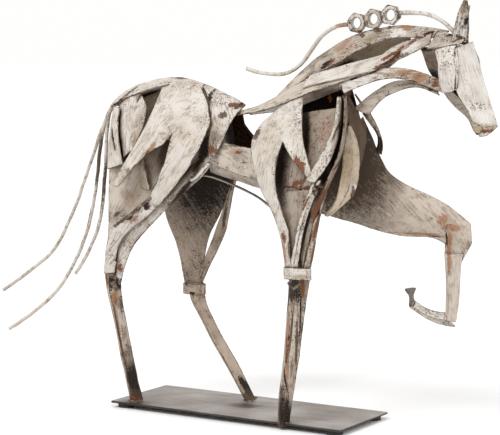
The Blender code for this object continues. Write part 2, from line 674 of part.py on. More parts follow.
def centre_on_floor():
    """Stand the whole sculpture with the middle of its outline over the origin."""
    low = np.min([corners(item)[0] for item in placed], axis=0)
    high = np.max([corners(item)[1] for item in placed], axis=0)
    stand = add_object("sculpture", None)
    stand.location = (-(low[0] + high[0]) / 2, -(low[1] + high[1]) / 2, 0)
    for item in placed:
        item.parent = stand


clear_scene()
build_base()
build_head()
build_mane()
build_neck()
build_right_hindquarter()
build_right_shoulder()
build_croup_and_tail()
build_loin()
build_left_foreleg()
build_chest()
build_left_hindleg()
build_left_side()
centre_on_floor()
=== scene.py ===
# %% [markdown]
# # A horse welded from scraps of sheet metal
# The real horse is a stack of sheet-steel strips. Each was cut by hand, bent over a knee or a
# vice, tacked to its neighbour with a blob of weld, and the whole was brushed with thin paint
# that wore off again at the edges. The solids already say where every strip is, so this lesson
# is about three other things: how a cut and bent strip looks close up, how paint over rust
# behaves, and how the welds tie it all together.

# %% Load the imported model
import json
import math

import bmesh
import bpy
import numpy as np
from mathutils import Matrix, Vector, noise
from mathutils.bvhtree import BVHTree
from mathutils.kdtree import KDTree


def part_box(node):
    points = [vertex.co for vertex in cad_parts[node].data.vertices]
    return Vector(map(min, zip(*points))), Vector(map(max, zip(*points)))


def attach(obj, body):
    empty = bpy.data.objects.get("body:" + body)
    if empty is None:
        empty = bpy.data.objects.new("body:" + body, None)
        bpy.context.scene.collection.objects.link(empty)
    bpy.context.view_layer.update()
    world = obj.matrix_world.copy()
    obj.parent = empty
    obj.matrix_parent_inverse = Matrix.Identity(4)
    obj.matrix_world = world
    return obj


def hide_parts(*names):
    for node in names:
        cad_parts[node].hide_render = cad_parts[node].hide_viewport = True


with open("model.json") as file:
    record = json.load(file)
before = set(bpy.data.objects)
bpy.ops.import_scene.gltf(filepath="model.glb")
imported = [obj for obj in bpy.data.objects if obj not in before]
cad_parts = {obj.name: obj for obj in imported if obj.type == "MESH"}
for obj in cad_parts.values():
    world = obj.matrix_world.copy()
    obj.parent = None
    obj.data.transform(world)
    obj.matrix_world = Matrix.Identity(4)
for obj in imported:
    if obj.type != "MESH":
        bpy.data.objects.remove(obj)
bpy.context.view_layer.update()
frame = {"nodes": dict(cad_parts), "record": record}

nodes = frame["nodes"]
MM = 0.001
print("%d pieces loaded" % len(nodes))

# %% [markdown]
# ## The camera
# A long lens stands a little over a metre from the horse, above its back and in front of its
# shoulder. A long lens keeps the far legs nearly as large as the near ones, which is why the
# horse looks so flat and graphic. The plate is the one straight, level thing in view, so the
# camera is placed from the middle of the plate's top.

# %% Place the camera
PICTURE_WIDTH = 500
PICTURE_HEIGHT = 435
FOCAL_LENGTH_IN_PIXELS = 1700
SENSOR_WIDTH = 36
CAMERA_FROM_PLATE = Vector((0.6364, -1.0228, 0.24815))
CAMERA_TURN = math.radians(31.793)
CAMERA_DIP = math.radians(5.307)

plate_low, plate_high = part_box("base_plate")
plate_top = Vector(((plate_low.x + plate_high.x) / 2, (plate_low.y + plate_high.y) / 2,
                    plate_high.z))
lens = bpy.data.cameras.new("camera")
lens.sensor_width = SENSOR_WIDTH
lens.lens = SENSOR_WIDTH * FOCAL_LENGTH_IN_PIXELS / PICTURE_WIDTH
lens.clip_start = 0.05
camera = bpy.data.objects.new("camera", lens)
bpy.context.scene.collection.objects.link(camera)
camera.location = plate_top + CAMERA_FROM_PLATE
camera.rotation_euler = (math.radians(90) - CAMERA_DIP, 0, CAMERA_TURN)
bpy.context.scene.camera = camera
print("lens of %.1f mm, %.2f m from the plate" % (lens.lens, CAMERA_FROM_PLATE.length))

# %% [markdown]
# ## Floor and light
# The horse stands in a bright white studio. An even white sky does most of the work and leaves
# the hollows between the strips dark by itself. Two wide suns, one high over the camera's left
# shoulder and a weaker one from the head's side, give the bent sheets their soft shading. A wide
# sun casts soft shadows, as a big studio lamp does, and lights the floor evenly all the way out.

# %% Make the floor, the sky and two soft suns
FLOOR_RADIUS = 60
SKY_COLOUR = (1, 0.995, 0.985, 1)
SKY_STRENGTH = 1.0


def new_object(name, data):
    item = bpy.data.objects.new(name, data)
    bpy.context.scene.collection.objects.link(item)
    return item


def object_from(bm, name):
    mesh = bpy.data.meshes.new(name)
    bm.to_mesh(mesh)
    bm.free()
    return new_object(name, mesh)


def soft_sun(name, strength, azimuth, height, spread):
    """A sun of a given strength. Its azimuth, height and spread are in degrees."""
    sun = bpy.data.lights.new(name, "SUN")
    sun.energy = strength
    sun.angle = math.radians(spread)
    lamp = new_object(name, sun)
    lamp.rotation_euler = (math.radians(90 - height), 0, math.radians(azimuth))


floor_mesh = bmesh.new()
bmesh.ops.create_circle(floor_mesh, cap_ends=True, segments=96, radius=FLOOR_RADIUS)
floor = object_from(floor_mesh, "floor")

sky = bpy.data.worlds.new("studio")
sky.use_nodes = True
sky.node_tree.nodes["Background"].inputs["Color"].default_value = SKY_COLOUR
sky.node_tree.nodes["Background"].inputs["Strength"].default_value = SKY_STRENGTH
bpy.context.scene.world = sky
soft_sun("key_light", strength=1.5, azimuth=-15, height=50, spread=25)
soft_sun("side_light", strength=0.7, azimuth=85, height=30, spread=40)
bpy.context.scene.view_settings.view_transform = "Standard"
print("floor, sky and two suns")

# %% [markdown]
# ## Sums with sockets
# A paint recipe is mostly arithmetic: so much rust where the edge is near, less where the paint
# lies thick. Wiring a Math node for every plus sign hides the idea, so a small class wraps a
# socket. Adding or multiplying two of them adds the Math node and hands back its output.

# %% A socket that can be added and multiplied
class Amount:
    """One output of a node. Arithmetic on it adds Math nodes to the same material."""

    def __init__(self, recipe, socket):
        self.recipe = recipe
        self.socket = socket

    def math(self, operation, first, second=None):
        values = {0: first} if second is None else {0: first, 1: second}
        return self.recipe.add("ShaderNodeMath", {"operation": operation}, values)

    def __add__(self, other):
        return self.math("ADD", self, other)

    def __radd__(self, other):
        return self.math("ADD", other, self)

    def __sub__(self, other):
        return self.math("SUBTRACT", self, other)

    def __rsub__(self, other):
        return self.math("SUBTRACT", other, self)

    def __mul__(self, other):
        return self.math("MULTIPLY", self, other)

    def __rmul__(self, other):
        return self.math("MULTIPLY", other, self)

    def __or__(self, other):
        return self.math("MAXIMUM", self, other)

    def rising(self, low, high):
        """0 below low, 1 above high, and a smooth rise between."""
        return self.recipe.add("ShaderNodeMapRange", {"interpolation_type": "SMOOTHSTEP"},
                               {"Value": self, "From Min": low, "From Max": high})

    def falling(self, low, high):
        """1 below low, 0 above high."""
        return 1 - self.rising(low, high)


print("sockets can be added and multiplied")

# %% [markdown]
# ## A material written as a recipe
# Every finish here needs the same few nodes: a place, a noise, a mix of two colours, a bump. One
# method makes any node, and the others only fill in its settings, in a painter's terms: a noise
# is asked for by how large its patches are, in metres, and a mark by its middle and its size.

# %% The nodes that a finish needs
class Recipe:
    """A material, and the few kinds of node that its paint needs."""

    def __init__(self, name):
        self.material = bpy.data.materials.new(name)
        self.material.use_nodes = True
        self.tree = self.material.node_tree
        self.shader = self.tree.nodes["Principled BSDF"]

    def add(self, kind, settings=None, inputs=None, output=0):
        node = self.tree.nodes.new(kind)
        for key, value in (settings or {}).items():
            setattr(node, key, value)
        for key, value in (inputs or {}).items():
            self.feed(node.inputs[key], value)
        return Amount(self, node.outputs[output])

    def feed(self, socket, value):
        if isinstance(value, Amount):
            self.tree.links.new(value.socket, socket)
        elif socket.type == "RGBA":
            socket.default_value = (*value, 1)
        else:
            socket.default_value = value

    def place(self):
        return self.add("ShaderNodeTexCoord", output="Object")

    def layer(self, name):
        """A number that the mesh carries at each point."""
        return self.add("ShaderNodeAttribute", {"attribute_name": name}, output="Fac")

    def grain(self, where, size, detail=3, twist=0.0):
        """Noise whose patches are about one size across, in metres."""
        return self.add("ShaderNodeTexNoise", None,
                        {"Vector": where, "Scale": 1 / size, "Detail": detail,
                         "Distortion": twist})

    def mix(self, share, first, second):
        """From the first colour to the second."""
        return self.add("ShaderNodeMix", {"data_type": "RGBA"},
                        {0: share, 6: first, 7: second}, output=2)

    def length(self, vector):
        return self.add("ShaderNodeVectorMath", {"operation": "LENGTH"}, {0: vector},
                        output="Value")

    def moved(self, where, centre, turn, size):
        """Coordinates centred on a spot, turned to it and measured in its own size."""
        return self.add("ShaderNodeMapping", {"vector_type": "TEXTURE"},
                        {"Vector": where, "Location": centre, "Rotation": turn, "Scale": size})

    def finish(self, colour, roughness, height, depth, metallic=0.0, gloss=0.5):
        """The material, with a relief whose full height is depth in metres."""
        bump = self.add("ShaderNodeBump", None, {"Strength": 1.0, "Distance": depth,
                                                 "Height": height})
        self.feed(self.shader.inputs["Base Color"], colour)
        self.feed(self.shader.inputs["Roughness"], roughness)
        self.feed(self.shader.inputs["Metallic"], metallic)
        self.feed(self.shader.inputs["Specular IOR Level"], gloss)
        self.feed(self.shader.inputs["Normal"], bump)
        return self.material


print("recipes can be written")

# %% [markdown]
# ## Where is that on the horse?
# Rust patches, scorch marks and weld blobs are read off the photograph, so a helper shoots the
# camera's ray through a point of the picture at one named piece. Typing their places in metres
# would take a ruler for each. The ray's answer lies on the piece itself, so the mark stays where
# it belongs from every side. The horse is seen at a slant, so a millimetre along it covers fewer
# picture points than a millimetre up it.

# %% Turn a point of the picture into a point on a piece
def tree_of(mesh_items):
    """A tree of all faces of some meshes, for rays and for asking what lies nearest."""
    spots, faces = [], []
    for mesh in mesh_items:
        start = len(spots)
        spots += [vertex.co for vertex in mesh.vertices]
        faces += [[start + number for number in face.vertices] for face in mesh.polygons]
    return BVHTree.FromPolygons(spots, faces)


solid_trees = {name: tree_of([solid.data]) for name, solid in nodes.items()}
whole_tree = tree_of([solid.data for solid in nodes.values()])
PIXELS_PER_MM_LENGTHWISE = 1.18
PIXELS_PER_MM_UP = 1.39


def line_of_sight(u, v):
    """The direction from the camera through a picture point."""
    aim = Vector((u - PICTURE_WIDTH / 2, PICTURE_HEIGHT / 2 - v, -FOCAL_LENGTH_IN_PIXELS))
    aim.rotate(camera.rotation_euler)
    return aim.normalized()


def touched(node, u, v):
    """Where the camera's ray through a picture point meets a piece, and the piece's facing."""
    aim = line_of_sight(u, v)
    spot, facing, _, _ = solid_trees[node].ray_cast(camera.location, aim)
    if spot is None:
        low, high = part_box(node)
        depth = ((low + high) / 2 - camera.location).dot(aim)
        spot, facing, _, _ = solid_trees[node].find_nearest(camera.location + aim * depth)
    return spot, -facing if facing.dot(aim) > 0 else facing


def beside(node, u, v):
    """The point in line with a picture point, as far away as the piece's nearest point."""
    aim = line_of_sight(u, v)
    return camera.location + aim * (touched(node, u, v)[0] - camera.location).dot(aim)


print("thigh fork's notch is at", [round(x, 4) for x in touched("right_thigh_fork", 174, 131)[0]])

# %% [markdown]
# ## Paint over rust
# Up close the finish is four layers. Under everything is brown steel. Over it lies a thin coat of
# off-white, dragged along the strip with a stiff brush, so that it has streaks and uneven tints.
# The coat is gone where it was cut, rubbed or burnt: along the edges, near the welds and in odd
# chips. The hollows are painted dark: partly the bare scale that a brush doesn't reach, and partly
# painted shade, where the other pieces shut out the light. A picture of such paint would have to be
# wrapped round every strip and would show its seams. Masks made of noise fit any shape, so each
# layer is a colour and a mask.

# %% Name the colours of paint, steel and shade
CHALK = (0.64, 0.61, 0.57)
OFF_WHITE = (0.56, 0.52, 0.475)
WARM_WHITE = (0.47, 0.415, 0.35)
GREIGE = (0.35, 0.295, 0.245)
STONE = (0.20, 0.155, 0.118)
CLAY = (0.155, 0.115, 0.083)
TAN = (0.25, 0.165, 0.105)
UMBER = (0.045, 0.026, 0.015)
BLACKENED = (0.008, 0.006, 0.005)
RUST = (0.20, 0.065, 0.023)
print("ten tones, from chalk to black")

# %% [markdown]
# ## Kinds of mark
# On top of its layers each strip has marks of its own: an orange burn, a black weld blot, a
# white smear. A kind of mark is a tone, how fully it covers the coat and how soft its border is.
# At 0 the border is ragged like a chip's, and at 1 it fades like a shadow. Stipple only shows in
# the grit, as where a dry brush skipped. Shade and gloom are painted shade, in the slits between
# the strips and over sheets that lie in shadow. Where rust follows the torn border of a strap, one
# round mark won't do, so a row of long ones is laid end to end, and each takes its place and tilt
# from the line it follows.

# %% Name the kinds of mark
SPOT_FINISH = {"rust": ((0.145, 0.047, 0.013), 0.95, 0.1),
               "orange": ((0.28, 0.125, 0.055), 0.8, 0.3),
               "ochre": ((0.30, 0.22, 0.13), 0.7, 0.3),
               "rose": ((0.35, 0.23, 0.17), 0.7, 0.3),
               "brown": ((0.12, 0.085, 0.060), 0.65, 0.3),
               "umber": (UMBER, 0.9, 0.3),
               "black": (BLACKENED, 1.0, 0.2),
               "white": ((0.62, 0.60, 0.57), 0.8, 0.2),
               "stipple": ((0.11, 0.072, 0.045), 0.9, 0.5),
               # Shade and gloom are painted shade.
               "shade": ((0.008, 0.004, 0.002), 1.0, 1.0),
               "gloom": ((0.048, 0.032, 0.020), 1.0, 1.0)}
OVERLAP = 0.6


def torn(kind, half_wide, path):
    """Marks of one kind along a line of picture points, each a little past its ends."""
    row = []
    for (u0, v0), (u1, v1) in zip(path, path[1:]):
        half_long = math.hypot(u1 - u0, v1 - v0) / 2 + OVERLAP
        row.append((kind, (u0 + u1) / 2, (v0 + v1) / 2, half_long, half_wide,
                    math.degrees(math.atan2(v1 - v0, u1 - u0))))
    return row


print("%d kinds of mark" % len(SPOT_FINISH))

# %% [markdown]
# ## What the masks read
# All layers of a piece read the same five noises, so that a chip, its dirt and its relief fall on
# the same spot, as they do in real paint. Brush strokes are noise as well, about twenty times as
# long as they are wide and turned along the strip. Noise alone doesn't know the shape, so every
# mesh also carries its distance to the nearest cut edge ("rim") and to the nearest other piece
# ("weld"), both in millimetres, how much of its view is blocked by other pieces ("hollow", from
# 0 to 1), and whether it faces the horse's right ("near_side"). A swing is a noise less its
# middle, so that it pushes a border out as often as in.

# %% Gather the noises and the mesh's own numbers
CLOUD_SIZE = 0.030
PATCH_SIZE = 0.009
GRIT_SIZE = 0.0012
STROKE = (0.030, 0.0016, 0.0016)
BRISTLE = (0.014, 0.0006, 0.0006)
ROUND_STROKE_SIZE = 0.004
ROUND_BRISTLE_SIZE = 0.0015


class Surface:
    """What the paint layers of one piece read. axes is its own frame, with its length first."""

    def __init__(self, mix, axes):
        where = mix.place()
        self.where = where
        self.rim = mix.layer("rim")
        self.weld = mix.layer("weld")
        self.hollow = mix.layer("hollow")
        self.near_side = mix.layer("near_side")
        self.clouds = mix.grain(where, CLOUD_SIZE, 4)
        self.patches = mix.grain(where, PATCH_SIZE, 6, 0.6)
        self.grit = mix.grain(where, GRIT_SIZE, 4)
        if axes:
            turn = axes.to_euler()
            self.brushed = mix.grain(mix.moved(where, (0, 0, 0), turn, STROKE), 1, 5)
            self.hair = mix.grain(mix.moved(where, (0, 0, 0), turn, BRISTLE), 1, 3)
        else:
            self.brushed = mix.grain(where, ROUND_STROKE_SIZE, 5)
            self.hair = mix.grain(where, ROUND_BRISTLE_SIZE, 3)
        self.patch_swing = self.patches - 0.5
        self.grit_swing = self.grit - 0.5
        self.hair_swing = self.hair - 0.5
        self.brush_swing = self.brushed - 0.5


print("patches %.0f mm across, grit %.1f mm" % (PATCH_SIZE / MM, GRIT_SIZE / MM))

# %% [markdown]
# ## The coat and the painted shade in its hollows
# The coat drifts between a light and a dark tint, with clay-coloured streaks where the brush ran
# dry and specks where grit broke through. Over it, the hollows are painted from tan through umber
# to black: painted shade where the other pieces shut out the light, which also stands for the bare
# scale inside. Three thresholds on one depth do that, so the tones always follow in that order and
# the border between them wanders with the patches.

# %% Brush the coat and paint shade into its hollows
def brushed_coat(mix, on, light, dark, streaks, wear):
    """The coat as the brush left it, and a mask of the specks in it."""
    tint = (on.clouds * 0.6 + on.patches * 0.4).rising(0.42, 0.62)
    dirt = (on.brushed * 0.5 + on.hair * 0.5 + on.patch_swing * 0.3).rising(0.49, 0.60) * streaks
    near_rim = on.rim.falling(0, 4) * 0.05
    specks = (on.grit * 0.55 + on.patches * 0.45 + near_rim).rising(0.595, 0.635) * (0.75 * wear)
    coat = mix.mix(dirt, mix.mix(tint, light, dark), CLAY)
    return mix.mix(specks, coat, UMBER), specks


def shaded_hollows(mix, on, colour, hollow_shade):
    """The colour with painted shade in the hollows, tan through umber to black, which also stands
    for their bare scale.
    """
    # Painted shade: the more other pieces hem a point in, the darker it is painted.
    depth = on.hollow * hollow_shade + on.patch_swing * 0.12 + on.hair_swing * 0.12
    colour = mix.mix(depth.rising(0.10, 0.36) * 0.6, colour, TAN)
    colour = mix.mix(depth.rising(0.22, 0.52) * 0.9, colour, UMBER)
    return mix.mix(depth.rising(0.36, 0.60), colour, BLACKENED)


print("coat and soot ready")

# %% [markdown]
# ## Laying a mark
# A mark could be a decal, but a decal needs an image. Here a Mapping node centres the coordinates
# on the mark, turns them and measures them in the mark's own size, so its border lies at a length
# of 1 from the middle. Noise added to that length tears the border. Shade and gloom marks are
# painted shade, and only lie on the sides that face the horse's right, or they would also show on
# the outside of the far sheets.

# %% Lay marks on the coat
def marked(mix, on, colour, name, spots):
    """The colour with a piece's marks laid on it, one after the other."""
    ragged = on.patch_swing * 1.8 + on.brush_swing * 2.2 + on.grit_swing * 2.0
    flecks = (on.grit * 0.5 + on.hair * 0.5).rising(0.46, 0.60) * 0.5
    skipped = (on.grit * 0.6 + on.hair * 0.4).rising(0.52, 0.575)
    for kind, u, v, half_wide, half_high, tilt in spots:
        tone, strength, soft = SPOT_FINISH[kind]
        size = (half_wide / PIXELS_PER_MM_LENGTHWISE * MM, 1, half_high / PIXELS_PER_MM_UP * MM)
        spot = mix.moved(on.where, touched(name, u, v)[0], (0, math.radians(tilt), 0), size)
        reach = mix.length(spot) + ragged * (1 - 0.6 * soft)
        share = reach.falling(0.8 - 0.4 * soft, 1.05 + 0.1 * soft)
        # Painted shade, only on the sides that face the horse's right.
        if kind in ("shade", "gloom"):
            share = share * on.near_side
        if kind == "stipple":
            share = share * skipped
        colour = mix.mix(share * strength, colour, mix.mix(flecks, tone, UMBER))
    return colour


print("marks ready")

# %% [markdown]
# ## Where the coat is gone
# A cut edge shows a thin dark line all along and wider bites of rust here and there. Only an
# edge beside another piece is burnt, since that is where the torch was. Bare steel is also a
# little lower than the coat and less shiny, so the same mask feeds the relief and the roughness.

# %% Wear the coat through and put the recipe together
PAINT_RELIEF = 0.0003
PAINT_GLOSS = 0.2


def worn_through(mix, on, colour, wear):
    """The colour with bare edges and burnt joints, and a mask of where the coat is gone."""
    cover = min(1, wear)
    line = (on.rim + on.grit_swing * 0.8).falling(0.10, 0.45) * (0.75 * cover)
    bites = (on.rim + on.patch_swing * 4.0 + on.grit_swing * 1.0).falling(-0.2, 0.35) * cover
    joint = on.weld + on.patch_swing * 5.0 + on.grit_swing * 1.5
    burnt = joint.falling(-0.3, 0.5) * on.rim.falling(0.5, 1.5) * (0.85 * cover)
    bare = mix.mix(on.patches.rising(0.38, 0.52), UMBER, RUST)
    colour = mix.mix(line, colour, UMBER)
    colour = mix.mix(bites, colour, bare)
    colour = mix.mix(burnt, colour, BLACKENED)
    return colour, bites | burnt | line


def painted(name, tint, axes=None, spots=(), gloss=PAINT_GLOSS):
    """Brushed and worn paint: two tints, and how worn, how streaked and how deep the painted shade
    in its hollows is.
    """
    light, dark, wear, streaks, hollow_shade = tint
    mix = Recipe(name)
    on = Surface(mix, axes)
    colour, specks = brushed_coat(mix, on, light, dark, streaks, wear)
    colour = shaded_hollows(mix, on, colour, hollow_shade)
    colour = marked(mix, on, colour, name, spots)
    colour, bare = worn_through(mix, on, colour, wear)
    gone = specks | bare
    height = on.brushed * 0.45 + on.hair * 0.25 + on.grit * 0.3 + (1 - gone) * 0.5
    roughness = 0.58 + gone * 0.2 + on.grit_swing * 0.2
    return mix.finish(colour, roughness, height, PAINT_RELIEF, gloss=gloss)


print("paint recipe ready, %.1f mm of relief" % (PAINT_RELIEF / MM))

# %% [markdown]
# ## Strips cut and bent by hand
# The solids are coarse: a bend is a row of flat facets. A Subdivision Surface bends them round,
# if the cut edges are creased so that they keep their corners. A Bevel would only round the
# corners, and smooth shading would leave the outline in facets. Subdivision works best on quads,
# so the loose triangles of the copy are merged and joined up first.

# %% Copy a piece and bend it round
MERGE = 2e-6
QUAD_FLATNESS = math.radians(25)
QUAD_SHAPE = math.radians(70)
CUT_IN_SHEET = math.radians(32)
CUT_IN_ROD = math.radians(60)
CREASE = 0.6


def merged_copy(node):
    """The solid's mesh with its loose triangles joined up, as far as possible into quads."""
    bm = bmesh.new()
    bm.from_mesh(nodes[node].data)
    bmesh.ops.remove_doubles(bm, verts=bm.verts, dist=MERGE)
    bmesh.ops.join_triangles(bm, faces=bm.faces, angle_face_threshold=QUAD_FLATNESS,
                             angle_shape_threshold=QUAD_SHAPE)
    return bm


def cut_edges(bm, angle):
    """The edges whose faces meet more sharply than a bend's do."""
    return [edge for edge in bm.edges
            if len(edge.link_faces) == 2 and edge.calc_face_angle() > angle]


def settled(item):
    """The item with its modifiers applied to its mesh."""
    view = item.evaluated_get(bpy.context.evaluated_depsgraph_get())
    mesh = bpy.data.meshes.new_from_object(view)
    item.modifiers.clear()
    item.data = mesh
    return item


def smoothed(bm, name, levels, angle):
    """The mesh after a subdivision that leaves its cut edges nearly sharp."""
    layer = bm.edges.layers.float.new("crease_edge")
    for edge in cut_edges(bm, angle):
        edge[layer] = CREASE
    item = object_from(bm, name)
    modifier = item.modifiers.new("bend", "SUBSURF")
    modifier.levels = modifier.render_levels = levels
    return settled(item)


print("an edge of a sheet counts as cut from %.0f degrees" % math.degrees(CUT_IN_SHEET))

# %% [markdown]
# ## Measuring the strip for its paint
# A tree of points along the cut edges answers how near the edge is, and the solids of the
# neighbours answer how near the next weld is. Both only look a few millimetres far, since the
# paint doesn't care beyond that, which also makes the search quick.

# %% Ask how near the edges and the neighbours are
REACH = 6 * MM
EDGE_STEP = 0.5 * MM


def points_of(mesh):
    """The places of a mesh's points, three numbers a row."""
    spots = np.empty(len(mesh.vertices) * 3, np.float32)
    mesh.vertices.foreach_get("co", spots)
    return spots.reshape(-1, 3)


def tree_of_edges(edges):
    """Points every half millimetre along the given edges, for asking how near one is."""
    spots = []
    for edge in edges:
        a, b = [vertex.co.copy() for vertex in edge.verts]
        steps = max(1, round((b - a).length / EDGE_STEP))
        spots += [a.lerp(b, step / steps) for step in range(steps + 1)]
    tree = KDTree(len(spots))
    for number, spot in enumerate(spots):
        tree.insert(spot, number)
    tree.balance()
    return tree


def near_pieces(node):
    """The other pieces that come within reach of this one."""
    low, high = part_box(node)
    found = []
    for other in nodes:
        if other != node:
            other_low, other_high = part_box(other)
            if all(low[i] - REACH < other_high[i] and other_low[i] < high[i] + REACH
                   for i in range(3)):
                found.append(solid_trees[other])
    return found


print("edges and neighbours are looked for up to %.0f mm away" % (REACH / MM))

# %% [markdown]
# For the hollows, a handful of rays leaves each point: the more of them end on another piece
# nearby, the darker the shade painted there, which stands for the shadow of the other pieces and
# for the bare scale that the brush missed. The shader's own Ambient Occlusion node would do much
# the same. Six rays are few, so one point would differ from the next, and the hollows are evened
# out along the mesh afterwards. A hit close by counts 1, and one at a feeler's full reach counts
# FADE less.

# %% Feel how hollow each point lies
HOLLOW_REACH = 75 * MM
OFF_THE_SKIN = 0.5 * MM
THROUGH_THE_SKIN = 0.05 * MM
FADE = 0.6
LEAN = math.radians(52)
FEELERS = [Vector((0, 0, 1))] + [
    Vector((math.sin(LEAN) * math.cos(turn), math.sin(LEAN) * math.sin(turn), math.cos(LEAN)))
    for turn in [math.tau * step / 5 for step in range(5)]]


def spread_out(mesh, values, rounds=6):
    """The values after each point has shared with its neighbours a few times."""
    ends = np.empty(len(mesh.edges) * 2, np.int32)
    mesh.edges.foreach_get("vertices", ends)
    first, second = ends.reshape(-1, 2).T
    degree = np.bincount(ends, minlength=len(values)) + 1
    values = np.array(values, float)
    for _ in range(rounds):
        total = values + np.bincount(first, values[second], len(values))
        total += np.bincount(second, values[first], len(values))
        values = total / degree
    return values


def free_way(start, aim):
    """How far a feeler gets. A hit from the inside is the piece's own skin and lets it through."""
    spot, facing, _, distance = whole_tree.ray_cast(start, aim, HOLLOW_REACH)
    if spot is not None and facing.dot(aim) > 0:
        distance = whole_tree.ray_cast(spot + aim * THROUGH_THE_SKIN, aim, HOLLOW_REACH)[3]
    return distance


def hollows(mesh, spots):
    """How much of each point's view other pieces block. One that is near blocks more."""
    blocked = []
    for vertex, spot in zip(mesh.vertices, spots):
        turn = vertex.normal.to_track_quat("Z", "Y")
        start = spot + vertex.normal * OFF_THE_SKIN
        share = 0.0
        for feeler in FEELERS:
            distance = free_way(start, turn @ feeler)
            if distance is not None:
                share += 1 - FADE * distance / HOLLOW_REACH
        blocked.append(share / len(FEELERS))
    return spread_out(mesh, blocked)


print("%d feelers a point" % len(FEELERS))

# %% [markdown]
# The answers are stored as attributes on the points of the mesh. A shader finds them there by
# name and blends them from point to point.

# %% Store the four numbers on each point
def carry(mesh, name, values):
    """Store one number on each point, for the paint to read."""
    layer = mesh.attributes.new(name, "FLOAT", "POINT")
    layer.data.foreach_set("value", np.asarray(values, np.float32))


def measure_surface(item, node, edge_tree):
    """Store on each point how near a cut edge and a weld are, how hollow it lies and its side."""
    spots = [Vector(spot) for spot in points_of(item.data)]
    far = REACH / MM
    carry(item.data, "rim", [min(far, edge_tree.find(spot)[2] / MM) for spot in spots])
    neighbours = near_pieces(node)
    gaps = []
    for spot in spots:
        gap = REACH
        for tree in neighbours:
            found = tree.find_nearest(spot, gap)[3]
            if found is not None:
                gap = min(gap, found)
        gaps.append(gap / MM)
    carry(item.data, "weld", gaps)
    carry(item.data, "hollow", hollows(item.data, spots))
    carry(item.data, "near_side", [float(vertex.normal.y < 0) for vertex in item.data.vertices])


print("rim, weld, hollow and near_side can be stored")

# %% [markdown]
# ## Dents
# Nothing on the horse is flat. Three sizes of noise move the points: slow waves from bending,
# thumb-sized dents, and the ripple that the hammer leaves. A Displace modifier would give each
# piece a field of its own; here all pieces share one, so strips that touch still touch
# afterwards. The dents come after the measuring, which needs the solids where they stand. The
# field starts somewhere else each time Blender runs, so its seed is fixed first, and the horse
# comes out the same in every run.

# %% Dent a piece
DENTS = ((0.040, 0.0005), (0.012, 0.00035), (0.0035, 0.00012))
NOISE_SEED = 1
noise.seed_set(NOISE_SEED)


def dent(item, share=1.0):
    """Move every point by the shared noise field, whose rows are a size and a depth."""
    moved = []
    for spot in points_of(item.data):
        where = Vector(spot)
        shift = Vector()
        for size, depth in DENTS:
            shift += noise.noise_vector(where / size) * (depth * share)
        moved.append(where + shift)
    item.data.vertices.foreach_set("co", np.array(moved, np.float32).ravel())


print("dents up to %.2f mm deep" % (sum(depth for size, depth in DENTS) / MM))

# %% [markdown]
# ## Which way the brush went
# The brush strokes run along a strip, and the longest spread of its points tells which way that
# is. A few wide sheets were brushed across their length, so theirs is given as a turn in degrees
# about the axis that runs across the horse.

# %% Find the direction of the brush
BRUSHED_AT = {"left_forearm_sheet": -42, "right_thigh_fork": 52, "right_shoulder_fork": 80,
              "left_thigh_sheet": -50, "right_thigh_rear_sheet": 60}


def stroke_axes(item, node):
    """A turn whose X runs along the brush strokes: along the piece, if nothing else is said."""
    if node in BRUSHED_AT:
        return Matrix.Rotation(-math.radians(BRUSHED_AT[node]), 3, "Y")
    spots = points_of(item.data)
    _, vectors = np.linalg.eigh(np.cov((spots - spots.mean(axis=0)).T))
    long, wide = Vector(vectors[:, 2]), Vector(vectors[:, 1])
    return Matrix((long, wide, long.cross(wide))).transposed()


print("%d sheets are brushed at an angle of their own" % len(BRUSHED_AT))

# %% [markdown]
# ## One strip from start to end
# Here the steps come together. The copy is bent round, then measured, then dented, and it takes
# the solid's place in the scene. The cut edges are looked up before the subdivision rounds them.

# %% Turn a solid into a hand-cut strip
SHADED_SHARP = math.radians(50)


def hand_cut(node, angle):
    """A bent, dented copy of a solid that knows its edges, its welds and its hollows."""
    bm = merged_copy(node)
    edge_tree = tree_of_edges(cut_edges(bm, angle))
    item = smoothed(bm, node + "_metal", levels=3, angle=angle)
    measure_surface(item, node, edge_tree)
    dent(item)
    item.data.shade_smooth()
    item.data.set_sharp_from_angle(angle=SHADED_SHARP)
    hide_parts(node)
    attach(item, "root")
    return item


print("%d sheets and rods can be copied" % len(nodes))
